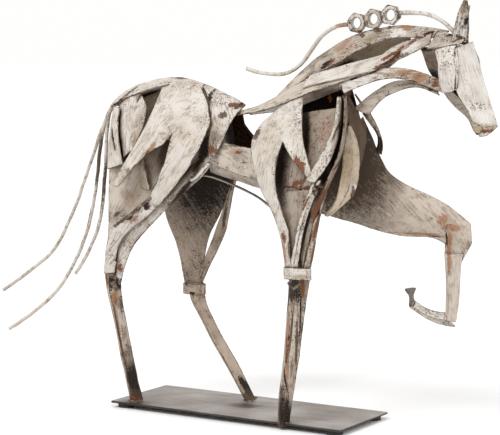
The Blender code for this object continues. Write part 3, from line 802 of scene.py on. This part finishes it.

# %% [markdown]
# ## The marks on each strip
# Each mark is a kind, a point of the picture, half its width and height in picture points, and how
# many degrees its top leans towards the head. The hindquarter is the most scorched part: black
# blots at the hock and the thigh's seam, an orange burn in the fork's notch, and deep painted shade
# behind the fork, on the inner sheets.

# %% List the marks of the hindquarter
MARKS = {
    "right_buttock_leaf_outer": [("black", 112, 137, 2.4, 9, -25), ("umber", 114, 146, 2, 6, -30),
                                 ("stipple", 116, 120, 5, 14, 15)],
    "right_buttock_leaf_inner": [("brown", 137, 94, 9, 3.5, 20), ("ochre", 136, 137, 3.5, 10, 10),
                                 ("umber", 139, 98, 2, 5, 15), ("stipple", 124, 108, 5, 12, 20)],
    "left_rump_sheet": [("ochre", 152, 106, 4.5, 11, 20), ("shade", 141, 118, 6, 18, 25),
                        ("shade", 204, 148, 8, 28, 12), ("shade", 231, 130, 10, 28, 0)],
    "right_thigh_fork": [("orange", 151, 148, 2.5, 10, 38), ("rust", 147, 153, 1.6, 5, 38),
                         ("black", 147, 205, 3.5, 5, 20), ("stipple", 186, 88, 12, 4, 0),
                         ("black", 121, 220, 6, 3.5, -30), ("orange", 134, 219, 7, 3, -35),
                         ("stipple", 205, 115, 3.5, 20, 8), ("stipple", 197, 150, 3, 18, 28),
                         ("stipple", 150, 178, 3, 20, 42)],
    "right_thigh_rear_sheet": [("rose", 131, 199, 6.5, 13, 32), ("umber", 117, 214, 6, 3, -40),
                               ("ochre", 145, 182, 4, 5, 0), ("stipple", 163, 160, 8, 25, 25),
                               ("shade", 171, 149, 7, 18, 25), ("shade", 155, 192, 3.5, 10, 20),
                               ("gloom", 168, 154, 12, 28, 25), ("shade", 203, 145, 6, 24, 15)],
    "right_gaskin_sheet": [("ochre", 199, 167, 3.5, 8, 42), ("rust", 120, 268, 2.5, 5, 0),
                           ("black", 115, 282, 4.5, 7, 0), ("shade", 182, 192, 3, 34, 45),
                           ("shade", 203, 145, 6, 24, 15), ("umber", 141, 241, 0.9, 22, 48)],
    # The black mark at (204, 94) is painted shade in the gap between the loin leaf and the thigh
    # fork.
    "right_loin_leaf": [("umber", 221, 115.5, 3.4, 3.4, 0), ("brown", 214, 139, 6, 9, 15),
                        ("rust", 211, 150, 5, 5.5, 0), ("black", 204, 94, 1.6, 9, -30),
                        ("rust", 233, 105, 3, 2.5, 0), ("black", 240, 105, 2.5, 4, 0),
                        ("rust", 246, 105.5, 5, 2.2, 0), ("stipple", 222, 100, 10, 10, -30)],
    "right_flank_band": [("rose", 236, 152, 8, 5, 0), ("rust", 238, 153, 5, 2, 0),
                         ("umber", 236, 146, 11, 0.8, 0), ("brown", 224, 147, 4, 3, 0),
                         ("stipple", 240, 162, 14, 8, 0)],
    "croup_strip": [("umber", 130, 92, 9, 2, -38), ("stipple", 125, 97, 4, 7, 40),
                    ("umber", 185, 78, 12, 1.2, 0), ("stipple", 160, 84, 14, 3, -12)],
    "left_thigh_sheet": [("shade", 205, 165, 50, 80, 0), ("stipple", 195, 262, 8, 20, 0)],
    "left_flank_sheet": [("shade", 240, 130, 30, 40, 0)],
    "right_hind_cannon": [("black", 114, 282, 5, 10, 0), ("rust", 106, 279, 3, 9, 0),
                          ("orange", 114, 298, 3, 9, 0), ("rust", 117, 325, 1.3, 24, -14),
                          ("umber", 121, 345, 0.9, 30, -14), ("stipple", 126, 350, 5, 14, -14),
                          ("stipple", 131, 372, 6, 16, -14), ("shade", 133, 382, 5.5, 26, -14),
                          ("umber", 136, 397, 6, 7, 0), ("rust", 132, 399, 4, 3, 0)],
    "left_hind_cannon": [("black", 245, 385, 2.2, 12, -38), ("umber", 250, 396, 6, 7, -38)],
    "left_hock_collar": [("black", 192, 293, 3, 1.2, 0), ("umber", 194, 283, 2, 2, 0)],
    "left_stifle_strap": [("umber", 224, 218, 1.8, 18, 10)],
    "tail_rod_right": [("umber", 90, 190, 3, 40, 12)],
    "tail_rod_middle": [("umber", 98, 160, 3, 30, 8), ("rust", 93, 215, 2, 10, 10)]}
print("%d marks on the hindquarter" % sum(len(marks) for marks in MARKS.values()))

# %% [markdown]
# The shoulder has the loudest rust: a triangle beside its fork, and raw orange down the inner
# straps to the knee. The neck and the head have small burnt ends instead, but for one torn line
# of rust. It runs over three straps, so all three are given the same row, and each shows the
# part that falls on it.

# %% List the marks of the shoulder, the neck and the head
TEAR = torn("rust", 1.8, [(376, 67.7), (389, 62.6), (395.8, 58.6), (400.4, 54), (398, 49.4),
                          (405, 46), (417.6, 39), (430, 32), (436, 30.4)])
MARKS.update({
    "right_shoulder_fork": [("umber", 257, 133.5, 3.4, 6, 15), ("rust", 291, 235, 2.5, 6, 0),
                            ("rust", 299, 164, 3.4, 12, -36),
                            ("orange", 284, 253, 2.5, 13, -8), ("umber", 289, 250, 1.5, 10, -5),
                            ("stipple", 274, 170, 2.5, 12, -10), ("stipple", 296, 120, 6, 18, 0)],
    "right_shoulder_plate": [("rust", 297, 183, 6, 3, -15), ("rust", 304, 180, 1.8, 7, 20),
                             ("umber", 290, 187, 9, 1.2, 0), ("rust", 299, 188.5, 12, 1.4, 0),
                             ("black", 300, 188, 1.5, 1.8, 0), ("rose", 325, 130, 6, 10, 20),
                             ("stipple", 315, 140, 10, 25, 10), ("stipple", 290, 180, 8, 14, 0),
                             ("gloom", 279, 180, 12, 44, 0), ("gloom", 302, 135, 9, 42, -12),
                             ("shade", 280, 172, 4, 34, 0), ("shade", 306, 138, 3, 30, -12)],
    "right_edge_strap": [("rust", 317, 207, 1.6, 20, 22), ("rust", 306, 204, 1.8, 10, 28),
                         ("umber", 336, 150, 1.5, 20, 5)],
    "right_forearm_front": [("rust", 322, 222, 1.4, 22, 16), ("rust", 317, 252, 1.6, 16, 12),
                            ("black", 299, 240, 1.5, 14, 12), ("stipple", 313, 235, 4, 25, 14)],
    "right_forearm_ribbon": [("rust", 305, 205, 1.2, 10, 28), ("black", 316, 190, 2, 6, 20),
                             ("stipple", 304, 220, 3, 22, 14)],
    "right_crescent_strap": [("stipple", 325, 160, 3, 20, 30), ("umber", 336, 130, 0.8, 14, 8)],
    "right_chest_leaf": [("white", 353, 190, 3, 6, 15), ("orange", 352, 194, 1.5, 3, 15),
                         ("ochre", 346, 165, 5, 22, 0)],
    "right_knee_collar": [("white", 292, 270, 7, 2.5, 0), ("ochre", 300, 277, 8, 2.5, 0),
                          ("umber", 297, 282, 14, 1, 0), ("stipple", 288, 276, 5, 5, 0)],
    "right_fore_cannon": [("black", 292, 291, 8, 12, 0), ("shade", 284, 414, 7, 22, 0),
                          ("black", 288, 303, 2.5, 10, 0), ("rust", 303, 290, 1.6, 12, 0),
                          ("stipple", 294, 300, 9, 18, 0), ("umber", 291, 330, 0.9, 30, 6),
                          ("black", 300, 320, 0.8, 26, 4), ("orange", 288, 328, 2.2, 18, 0),
                          ("rust", 286, 347, 1.2, 12, 0), ("black", 285, 378, 1.1, 14, -8),
                          ("umber", 296.5, 345, 0.9, 34, 4), ("stipple", 292, 345, 8, 30, 0),
                          ("black", 282, 408, 2.5, 16, 0), ("stipple", 284, 398, 8, 20, 0),
                          ("orange", 287, 365, 1.2, 20, 0)],
    "left_shoulder_sheet": [("rust", 330, 98, 2, 5, 0)],
    "left_forearm_sheet": [("rust", 386.5, 168, 1.2, 9, -25), ("orange", 422, 234, 20, 1.6, 0),
                           ("umber", 437, 236.5, 8, 0.8, 0), ("orange", 443, 219, 5, 5, 0),
                           ("orange", 452, 228, 9, 4, 0), ("stipple", 446, 226, 10, 8, 0),
                           ("orange", 449, 240, 3.2, 10, 15), ("black", 447, 240, 1.2, 9, 0),
                           ("orange", 449, 252, 2.6, 14, 0), ("gloom", 350, 165, 42, 70, 0),
                           ("stipple", 386, 190, 14, 26, 0)],
    "left_fore_cannon": [("orange", 449, 262, 2.4, 12, 0), ("stipple", 449, 273, 2, 3, 0)],
    "left_pastern": [("stipple", 432, 308, 14, 7, 25)],
    "left_fore_hoof": [("stipple", 412, 296, 6, 9, 0)],
    "chest_loop": [("black", 380, 143, 4, 10, 0)],
    "throat_strap_upper": [("ochre", 389, 75, 6, 2.5, 0), ("orange", 419, 77, 8, 7, 0),
                           ("orange", 404, 73, 9, 3, 0), ("rust", 435, 83, 4, 4, 0),
                           ("umber", 341, 88, 1.5, 3, 0), ("stipple", 390, 77, 20, 5, 0)],
    "throat_strap_lower": [("stipple", 405, 86, 14, 3, 0)],
    "neck_overlay_strap": TEAR + [("umber", 347, 66, 0.8, 0.8, 0)],
    "neck_strap_right": TEAR + [("stipple", 290, 102, 16, 3, -15)],
    "poll_strap": TEAR + [("black", 431, 31.5, 6, 2, -28), ("white", 408, 50, 9, 3, -30)],
    # The black mark at (326, 65) is a painted shadow under the peeling end of the neck strap.
    "crest_strip": [("rose", 344, 45, 12, 11, 40), ("orange", 406, 27, 7, 4, 0),
                    ("stipple", 421, 29, 11, 6, 0), ("white", 397, 33, 8, 3.5, 0),
                    ("black", 326, 65, 7, 3, -45), ("rust", 331, 63, 1.3, 6, 40),
                    ("stipple", 350, 50, 22, 5, -35), ("ochre", 370, 40, 8, 4, -20)],
    "neck_sheet_left": [("ochre", 380, 48, 18, 5, -20), ("shade", 345, 66, 12, 5, -25)],
    "mane_rod_rear": [("orange", 343, 25, 7, 3, 0), ("stipple", 361, 34, 3, 3, 0)],
    "mane_nut_front": [("rust", 399.5, 16.5, 2.5, 4, 0)],
    "mane_nut_rear": [("rust", 361, 32, 4, 2, 0)],
    "right_ear": [("ochre", 465, 9, 3, 7, 0), ("black", 466, 21, 1.8, 7, 10),
                  ("stipple", 460, 22, 4, 12, 0)],
    "left_ear": [("brown", 468, 20, 4, 14, 0)],
    "poll_plate": [("stipple", 446, 36, 12, 8, 0), ("black", 455, 33, 5, 1.4, 0)],
    "face_plate": [("stipple", 480, 106, 6, 5, 0), ("ochre", 483, 128, 12, 4, 0),
                   ("rust", 489, 131, 4, 1.6, 0)],
    "right_cheek": [("stipple", 447, 60, 10, 14, 0), ("umber", 455, 84, 0.7, 8, 8)],
    "left_cheek": [("shade", 433, 76, 7, 8, 0), ("shade", 424, 42, 7, 4, 0)],
    "jaw_bar": [("rust", 480, 132, 9, 3, 0), ("stipple", 460, 108, 12, 8, 40)]})
print("%d marks in all" % sum(len(marks) for marks in MARKS.values()))

# %% [markdown]
# ## Dressing the strips
# The tints follow the real horse, with painted shade in them as well: the nearest and topmost
# strips are almost white, the inner ones tan, and the far legs and the cut-off ends brown, and the
# inner sheets, the far legs and the chest sheet are darker partly because they lie in shade. Each
# row is a light tint, a dark one, and how worn, how streaked and how deep the painted shade in its
# hollows is. The record names a finish for each piece, and each finish has a row. One row a finish
# would make the strips too much alike, so the pieces that stand out have their own; the strap over
# the neck is the cleanest of them.

# %% Choose the tints of each piece
SLOT_OF = {entry["node"]: entry["material_slot"] for entry in frame["record"]["subparts"]}
TINTS = {"pale_paint": (OFF_WHITE, WARM_WHITE, 0.8, 0.5, 0.7),
         "grey_paint": (OFF_WHITE, GREIGE, 1.0, 0.65, 0.7),
         "tan_paint": (GREIGE, STONE, 1.0, 0.55, 0.9),
         "brown_steel": (STONE, UMBER, 1.2, 0.5, 0.9)}
# FAR_SIDE, SHELL and FAR_LEG are darker partly as painted shade: those pieces lie in the horse's
# own shadow.
FAR_SIDE = (GREIGE, STONE, 1.0, 0.6, 1.3)
SHELL = (GREIGE, STONE, 1.0, 0.6, 1.9)
NUT_STEEL = (OFF_WHITE, GREIGE, 1.2, 0.5, 0.4)
LEG = ((0.43, 0.37, 0.31), (0.22, 0.165, 0.125), 1.3, 0.9, 0.6)
FAR_LEG = ((0.38, 0.305, 0.24), (0.27, 0.21, 0.16), 0.9, 0.5, 0.4)
OWN_TINTS = {"neck_overlay_strap": (OFF_WHITE, WARM_WHITE, 0.4, 0.4, 0.3),
             "neck_strap_right": (WARM_WHITE, GREIGE, 0.9, 0.7, 0.7),
             "crest_strip": (WARM_WHITE, STONE, 1.2, 0.6, 0.5),
             "right_knee_collar": (WARM_WHITE, OFF_WHITE, 0.5, 0.4, 0.4),
             "face_plate": (CHALK, OFF_WHITE, 0.5, 0.3, 0.3),
             "right_cheek": (CHALK, OFF_WHITE, 0.7, 0.4, 0.3),
             "left_thigh_sheet": FAR_LEG,
             "left_forearm_sheet": ((0.45, 0.385, 0.32), (0.35, 0.29, 0.235), 0.6, 0.5, 0.4),
             "left_hind_cannon": FAR_LEG, "left_stifle_strap": FAR_LEG,
             "left_hock_collar": FAR_LEG, "left_cheek": (WARM_WHITE, STONE, 1.0, 0.6, 0.45),
             "chest_loop": FAR_SIDE, "belly_rod": FAR_SIDE,
             "right_chest_leaf": ((0.47, 0.39, 0.30), (0.40, 0.33, 0.25), 0.6, 0.2, 0.15),
             "right_thigh_rear_sheet": (WARM_WHITE, GREIGE, 0.9, 0.5, 0.6),
             "right_flank_band": (WARM_WHITE, GREIGE, 0.9, 0.5, 0.5),
             "right_shoulder_plate": (GREIGE, (0.26, 0.20, 0.155), 1.1, 0.6, 0.45),
             "right_forearm_front": (WARM_WHITE, GREIGE, 1.0, 0.7, 0.5),
             "left_rump_sheet": (GREIGE, STONE, 1.0, 0.5, 0.6), "left_shoulder_sheet": SHELL,
             # The flank sheet's hollow shade of 3.0 paints it nearly black, as painted shade in the
             # void behind the near strips.
             "left_flank_sheet": (GREIGE, STONE, 1.0, 0.5, 3.0),
             # The chest sheet's near-black tints are partly painted shade.
             "chest_sheet": ((0.085, 0.055, 0.034), (0.06, 0.036, 0.021), 0.8, 0.3, 0.5),
             "neck_sheet_left": (GREIGE, (0.26, 0.20, 0.155), 0.8, 0.4, 0.3),
             "throat_strap_lower": (WARM_WHITE, GREIGE, 1.0, 0.5, 0.5),
             "right_fore_cannon": LEG, "right_hind_cannon": LEG,
             "left_fore_cannon": ((0.50, 0.44, 0.38), (0.42, 0.36, 0.30), 0.25, 0.5, 0.3),
             "left_fore_hoof": ((0.24, 0.22, 0.205), (0.10, 0.09, 0.08), 1.0, 0.5, 0.3),
             "mane_nut_rear": NUT_STEEL, "mane_nut_middle": NUT_STEEL,
             "mane_nut_front": NUT_STEEL}
print("%d finishes, and %d pieces with tints of their own" % (len(TINTS), len(OWN_TINTS)))

# %% [markdown]
# The slits between the near strips look black because two sheets deep inside close them, and the
# hollow shade painted on those two is deep. They get no gloss at all, so the painted shade doesn't
# shine. Rods and hooves are round, so their facets meet at wider angles than a sheet's do, only
# their ends count as cut, and their strokes have no direction.

# %% Paint all strips, rods and nuts of the horse
DEEP_INSIDE = ("left_flank_sheet", "left_shoulder_sheet")
BASE = ["base_plate"] + [name for name in nodes if name.startswith("rubber_foot")]

painted_pieces = []
for node in sorted(nodes):
    if node in BASE:
        continue
    is_round = "rod" in node or "hoof" in node
    item = hand_cut(node, angle=CUT_IN_ROD if is_round else CUT_IN_SHEET)
    axes = None if is_round else stroke_axes(item, node)
    finish = painted(node, OWN_TINTS.get(node, TINTS[SLOT_OF[node]]), axes, MARKS.get(node, ()),
                     0.0 if node in DEEP_INSIDE else PAINT_GLOSS)
    item.data.materials.clear()
    item.data.materials.append(finish)
    painted_pieces.append(item)
print("%d pieces painted, %d faces" % (
    len(painted_pieces), sum(len(item.data.polygons) for item in painted_pieces)))

# %% [markdown]
# ## Scraps
# Three small bits of sheet are too small for a name among the solids: a tab bent out of the thigh
# fork's notch, a narrow strap over the stifle and the lip under the muzzle. A fourth is a dark
# sheet behind the slit between the forearm's strips, which is painted shade: it stands for the
# shadow in the slit, where the floor would otherwise show through. Each is a flat grid, stretched
# between two edges that run through points of the picture. A third number lifts each point off the
# piece that carries the scrap, or sinks it behind, as the dark sheet's are. Solidify then gives the
# grid its thickness. A box cut and bent to shape would need its corners placed one by one; a grid
# only needs its two long edges.

# %% Bend four scraps
SCRAP_THICKNESS = 0.9 * MM
SCRAP_DENTS = 0.8
GRID_ACROSS = 5
GRID_ALONG = 14


def along_path(points, share):
    """The point that lies a share of the way along a path."""
    place = share * (len(points) - 1)
    step = min(int(place), len(points) - 2)
    return points[step].lerp(points[step + 1], place - step)


def lifted(node, path):
    """Picture points with a lift in mm each, turned into points off a piece's right side."""
    return [beside(node, u, v) - Vector((0, lift * MM, 0)) for u, v, lift in path]


def bent_scrap(name, node, one_edge, other_edge, tint, marks=()):
    """A strip of sheet between two edges, carried by a piece."""
    first, second = lifted(node, one_edge), lifted(node, other_edge)
    bm = bmesh.new()
    bmesh.ops.create_grid(bm, x_segments=GRID_ACROSS, y_segments=GRID_ALONG, size=1)
    for vertex in bm.verts:
        across, along = (vertex.co.x + 1) / 2, (vertex.co.y + 1) / 2
        vertex.co = along_path(first, along).lerp(along_path(second, along), across)
    bmesh.ops.recalc_face_normals(bm, faces=bm.faces)
    bmesh.ops.solidify(bm, geom=bm.faces[:], thickness=SCRAP_THICKNESS)
    bmesh.ops.recalc_face_normals(bm, faces=bm.faces)
    edge_tree = tree_of_edges(cut_edges(bm, CUT_IN_SHEET))
    item = smoothed(bm, name, levels=2, angle=CUT_IN_SHEET)
    measure_surface(item, node, edge_tree)
    dent(item, SCRAP_DENTS)
    item.data.shade_smooth()
    item.data.materials.append(painted(node, tint, stroke_axes(item, name), marks))
    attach(item, "root")
    return item


scraps = [
    bent_scrap("thigh_tab", "right_thigh_rear_sheet",
               [(143, 158, 1), (141, 168, 1), (140.5, 178, 1), (142, 188, 1)],
               [(146, 157, 5.5), (148.5, 168, 5), (151, 180, 4.5), (152.5, 190, 3)],
               (WARM_WHITE, GREIGE, 1.0, 0.4, 0.2), [("ochre", 145, 182, 4, 6, 0)]),
    bent_scrap("stifle_strap", "right_gaskin_sheet",
               [(208.5, 161.5, 0.6), (203, 168.5, 1.6), (196.5, 176, 1.6), (190.5, 179, 0.8)],
               [(211, 164.5, 0.6), (206, 171, 1.6), (199, 178.5, 1.6), (192, 182, 0.8)],
               (OFF_WHITE, WARM_WHITE, 0.8, 0.3, 0.2)),
    bent_scrap("lip", "face_plate",
               [(471, 121, 0.4), (478, 124, 0.8), (486, 127, 0.8), (493.5, 126, 0.4)],
               [(473.5, 131, 1.0), (479, 134.5, 1.8), (484, 131.5, 1.8), (489.5, 135.5, 1.8),
                (494, 129, 1.0)],
               (WARM_WHITE, GREIGE, 1.2, 0.5, 0.3), [("ochre", 480, 129, 9, 4, 0),
                                                     ("rust", 489, 131, 5, 2, 0)]),
    # A dark sheet sunk behind the forearm's slit, painted shade for the shadow there.
    bent_scrap("forearm_slit_shade", "right_forearm_ribbon",
               [(300.5, 212, -2.5), (298.5, 232, -2.5), (295.5, 263, -2)],
               [(309.5, 212, -2.5), (307, 232, -2.5), (303.5, 263, -2)],
               (CLAY, UMBER, 1.2, 0.5, 2.0))]
print("scraps with %s faces" % [len(item.data.polygons) for item in scraps])

# %% [markdown]
# ## Welds
# A weld bead is a chain of frozen drops, each half over the last. Balls in a row look like a
# string of pearls, and a tube looks like piping, so a voxel Remesh melts the balls into one lumpy
# body. Each path is the piece that carries the bead, the drops' radius in millimetres and points
# of the picture.

# %% List the weld beads
WELD_PATHS = {
    "thigh_seam": ("right_thigh_fork", 1.4, [(150, 198), (141, 206), (128, 216), (115, 226)]),
    "hock": ("right_hind_cannon", 2.0, [(112, 276), (116, 279), (113, 284), (116, 288)]),
    "knee_top": ("right_fore_cannon", 1.0, [(287, 283), (294, 289), (300, 284)]),
    "shoulder_seam": ("right_shoulder_plate", 0.7, [(287, 190), (297, 188.5), (311, 186.5)]),
    "strap_crossing": ("right_forearm_ribbon", 1.0, [(313, 188), (317, 191), (315, 195)]),
    "chest_leaf": ("right_chest_leaf", 0.9, [(353, 187), (354, 191), (352, 196)]),
    "flank": ("right_loin_leaf", 0.9, [(208, 152), (212, 156)]),
    "tail_root": ("croup_strip", 1.1, [(108, 114), (112, 109)]),
    "withers": ("neck_strap_right", 0.8, [(235, 105), (241, 106)]),
    "ear_root": ("right_ear", 0.9, [(457, 36), (463, 38)]),
    "stifle": ("right_gaskin_sheet", 1.1, [(191, 177), (192, 178)]),
    "nut_rear_to_rod": ("mane_nut_rear", 1.0, [(349, 22), (350, 23)]),
    "nut_rear_to_middle": ("mane_nut_middle", 0.9, [(366.5, 22), (366.7, 23.5)]),
    "nut_middle_to_front": ("mane_nut_front", 0.9, [(382.5, 16.5), (382.7, 18)]),
    "nut_front_to_rod": ("mane_nut_front", 1.0, [(399, 16), (399.5, 17)]),
    "nut_rear_to_crest": ("crest_strip", 1.2, [(360.5, 33), (361, 35)]),
    "nut_middle_to_crest": ("crest_strip", 1.6, [(376.5, 30), (376.7, 30.5)]),
    "nut_front_to_crest": ("crest_strip", 1.0, [(389.5, 27), (389.7, 28)]),
    "hind_right_foot": ("base_plate", 1.5, [(130, 400), (136, 402.5), (141, 399.5)]),
    "hind_left_foot": ("base_plate", 1.5, [(245, 400), (250, 402), (255, 398)]),
    "fore_right_foot": ("base_plate", 1.4, [(279, 423), (284, 426), (289, 422.5)])}
print("%d weld beads to lay" % len(WELD_PATHS))

# %% [markdown]
# Nobody paints a weld twice. It is bare brown scale with grey spatter on it, a little metallic
# where the scale flaked off.

# %% The finish of a weld
def weld_scale():
    """Brown scale with grey spatter and a little rust."""
    mix = Recipe("weld_scale")
    where = mix.place()
    lumps = mix.grain(where, 0.004, 4)
    grit = mix.grain(where, 0.0008, 3)
    colour = mix.mix(lumps.rising(0.42, 0.60), UMBER, (0.17, 0.12, 0.09))
    colour = mix.mix(grit.rising(0.55, 0.62) * 0.6, colour, GREIGE)
    colour = mix.mix(lumps.falling(0.36, 0.42) * 0.8, colour, RUST)
    return mix.finish(colour, 0.5 + grit * 0.3, lumps * 0.5 + grit * 0.5, PAINT_RELIEF,
                      metallic=0.2, gloss=0.4)


weld_finish = weld_scale()
print("one finish for all welds")

# %% [markdown]
# Each drop is a ball flattened towards the sheet. Its size varies along the bead by one noise and
# its skin is dented by another. The voxels of the Remesh are a small share of the drop, so that a
# thin bead keeps as much shape as a thick one.

# %% Lay the weld beads
DROP_SPACING = 1.1
DROP_FLATNESS = 0.6
DROP_SWELL = 0.45
SWELL_SIZE = 2.5 * MM
DROP_DENT = 0.22
DENT_SIZE = 1.1 * MM
MELT_GRID = 0.16


def drop(bm, spot, facing, radius):
    """One frozen drop, flattened against the face it lies on."""
    made = bmesh.ops.create_icosphere(bm, subdivisions=3, radius=radius)["verts"]
    turn = facing.to_track_quat("Z", "Y").to_matrix().to_4x4()
    squeeze = Matrix.Diagonal((1, 1, DROP_FLATNESS, 1))
    bmesh.ops.transform(bm, matrix=Matrix.Translation(spot) @ turn @ squeeze, verts=made)
    for vertex in made:
        vertex.co += noise.noise_vector(vertex.co / DENT_SIZE) * radius * DROP_DENT


def weld_bead(name, node, radius, path, finish):
    """Drops along a path, melted into one bead."""
    bm = bmesh.new()
    stops = [touched(node, u, v) for u, v in path]
    for (start, facing), (end, _) in zip(stops, stops[1:]):
        steps = max(1, round((end - start).length / (radius * DROP_SPACING * MM)))
        for step in range(steps + 1):
            spot = start.lerp(end, step / steps)
            size = radius * MM * (1 + DROP_SWELL * noise.noise(spot / SWELL_SIZE))
            drop(bm, spot, facing, size)
    item = object_from(bm, "weld_" + name)
    melt = item.modifiers.new("melt", "REMESH")
    melt.mode = "VOXEL"
    melt.voxel_size = radius * MELT_GRID * MM
    settled(item)
    item.data.shade_smooth()
    item.data.materials.append(finish)
    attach(item, "root")
    return item


beads = [weld_bead(name, node, radius, path, weld_finish)
         for name, (node, radius, path) in WELD_PATHS.items()]
print("%d weld beads, %d faces" % (len(beads), sum(len(item.data.polygons) for item in beads)))

# %% [markdown]
# Where the throat strap meets the chest, the end of a welding rod was left standing. It is a
# short thin pin with a rounded tip: a cone whose rims are bevelled. A rim is told from the cone's
# sides by lying level while the cone still stands upright.

# %% Leave the rod's stub on the chest
STUB_FOOT = touched("throat_strap_lower", 361, 103)[0]
STUB_LEAN = Vector((-4.6, 0, 6.0)) * MM
STUB_FOOT_RADIUS = 0.9 * MM
STUB_TIP_RADIUS = 0.6 * MM
STUB_ROUNDING = 0.3 * MM
LEVEL = 0.1 * MM
stub = bmesh.new()
bmesh.ops.create_cone(stub, cap_ends=True, segments=16, radius1=STUB_FOOT_RADIUS,
                      radius2=STUB_TIP_RADIUS, depth=STUB_LEAN.length)
rims = [edge for edge in stub.edges if abs(edge.verts[0].co.z - edge.verts[1].co.z) < LEVEL]
bmesh.ops.bevel(stub, geom=rims, offset=STUB_ROUNDING, offset_type="OFFSET", segments=3,
                profile=0.5, affect="EDGES", material=-1)
stand = STUB_LEAN.to_track_quat("Z", "Y").to_matrix().to_4x4()
bmesh.ops.transform(stub, matrix=Matrix.Translation(STUB_FOOT + STUB_LEAN / 2) @ stand,
                    verts=stub.verts)
stub_item = object_from(stub, "rod_stub")
stub_item.data.shade_smooth()
stub_item.data.materials.append(weld_finish)
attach(stub_item, "root")
print("stub of %.1f mm" % (STUB_LEAN.length / MM))

# %% [markdown]
# ## The plate and its feet
# The plate is bare steel, rubbed lengthwise with a disc until it was dull. Its rim is dark: the
# disc rode over it and left the scale on the side, and a ragged line of it shows on top along the
# tail's end and the near side. Under the three hooves that stand on it the plate is darker in brown
# blots. The plate is flat and plain, so the solid itself stays and only gets its finish. Its own
# box tells the material where the rim is. Each blot is a point of the picture and half its width in
# millimetres.

# %% Rub the plate and darken it under the hooves
HOOF_BLOTS = [(133, 402, 15), (247, 406, 15), (284, 424, 11)]
DISC_STROKE = (0.05, 0.0012, 0.0012)
DISC_TURN = (0, 0, 0.06)
RUBBED_RELIEF = 0.00008


def rubbed_steel():
    """Dull steel with long fine scratches, a dark rim and dark blots under the hooves."""
    mix = Recipe("rubbed_steel")
    where = mix.place()
    clouds = mix.grain(where, 0.035, 4)
    specks = mix.grain(where, 0.0016, 4)
    rubbed = mix.grain(mix.moved(where, (0, 0, 0), DISC_TURN, DISC_STROKE), 1, 4)
    tone = (clouds * 0.4 + rubbed * 0.4 + specks * 0.2).rising(0.40, 0.62)
    colour = mix.mix(tone, (0.20, 0.17, 0.15), (0.42, 0.38, 0.35))
    colour = mix.mix(specks.rising(0.66, 0.72) * 0.8, colour, (0.10, 0.07, 0.05))
    low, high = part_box("base_plate")
    along, across, up = [mix.add("ShaderNodeSeparateXYZ", None, {0: where}, output=axis)
                         for axis in "XYZ"]
    from_tail_end = (along - low.x) * 1000 + (rubbed - 0.5) * 3 + (specks - 0.5) * 2
    from_near_side = (across - low.y) * 1000 + (clouds - 0.5) * 3 + (specks - 0.5) * 2
    scale = from_tail_end.falling(0.3, 1.6) | from_near_side.falling(0.3, 1.6)
    scale = scale | (high.z - up).rising(0.0002, 0.0005)
    colour = mix.mix(scale * 0.9, colour, (0.030, 0.024, 0.022))
    for u, v, half_wide in HOOF_BLOTS:
        size = (half_wide * MM, half_wide * 0.6 * MM, 1)
        foot = mix.moved(where, touched("base_plate", u, v)[0], (0, 0, 0), size)
        share = (mix.length(foot) + (clouds - 0.5) + (rubbed - 0.5)).falling(0.3, 1.2) * 0.75
        colour = mix.mix(share, colour, UMBER)
    return mix.finish(colour, 0.38 + specks * 0.25, rubbed * 0.6 + specks * 0.4, RUBBED_RELIEF,
                      metallic=0.75)


print("%d scorched blots" % len(HOOF_BLOTS))

# %% [markdown]
# The feet are matt black rubber. The floor is nearly white, with a mottle so faint that only the
# shadow on it shows.

# %% Finish the plate, the feet and the floor
def black_rubber():
    mix = Recipe("black_rubber")
    specks = mix.grain(mix.place(), 0.0008, 3)
    colour = mix.mix(specks, (0.012, 0.012, 0.012), (0.035, 0.033, 0.03))
    return mix.finish(colour, 0.75 + specks * 0.15, specks, 0.0001)


def pale_floor():
    mix = Recipe("pale_floor")
    mottle = mix.grain(mix.place(), 0.4, 2)
    colour = mix.mix(mottle, (0.80, 0.80, 0.80), (0.82, 0.82, 0.82))
    return mix.finish(colour, 0.9, mottle, 0.00001)


for name in BASE:
    nodes[name].data.materials.clear()
    nodes[name].data.materials.append(rubbed_steel() if name == "base_plate" else black_rubber())
floor.data.materials.append(pale_floor())
print("plate, %d feet and floor finished" % (len(BASE) - 1))
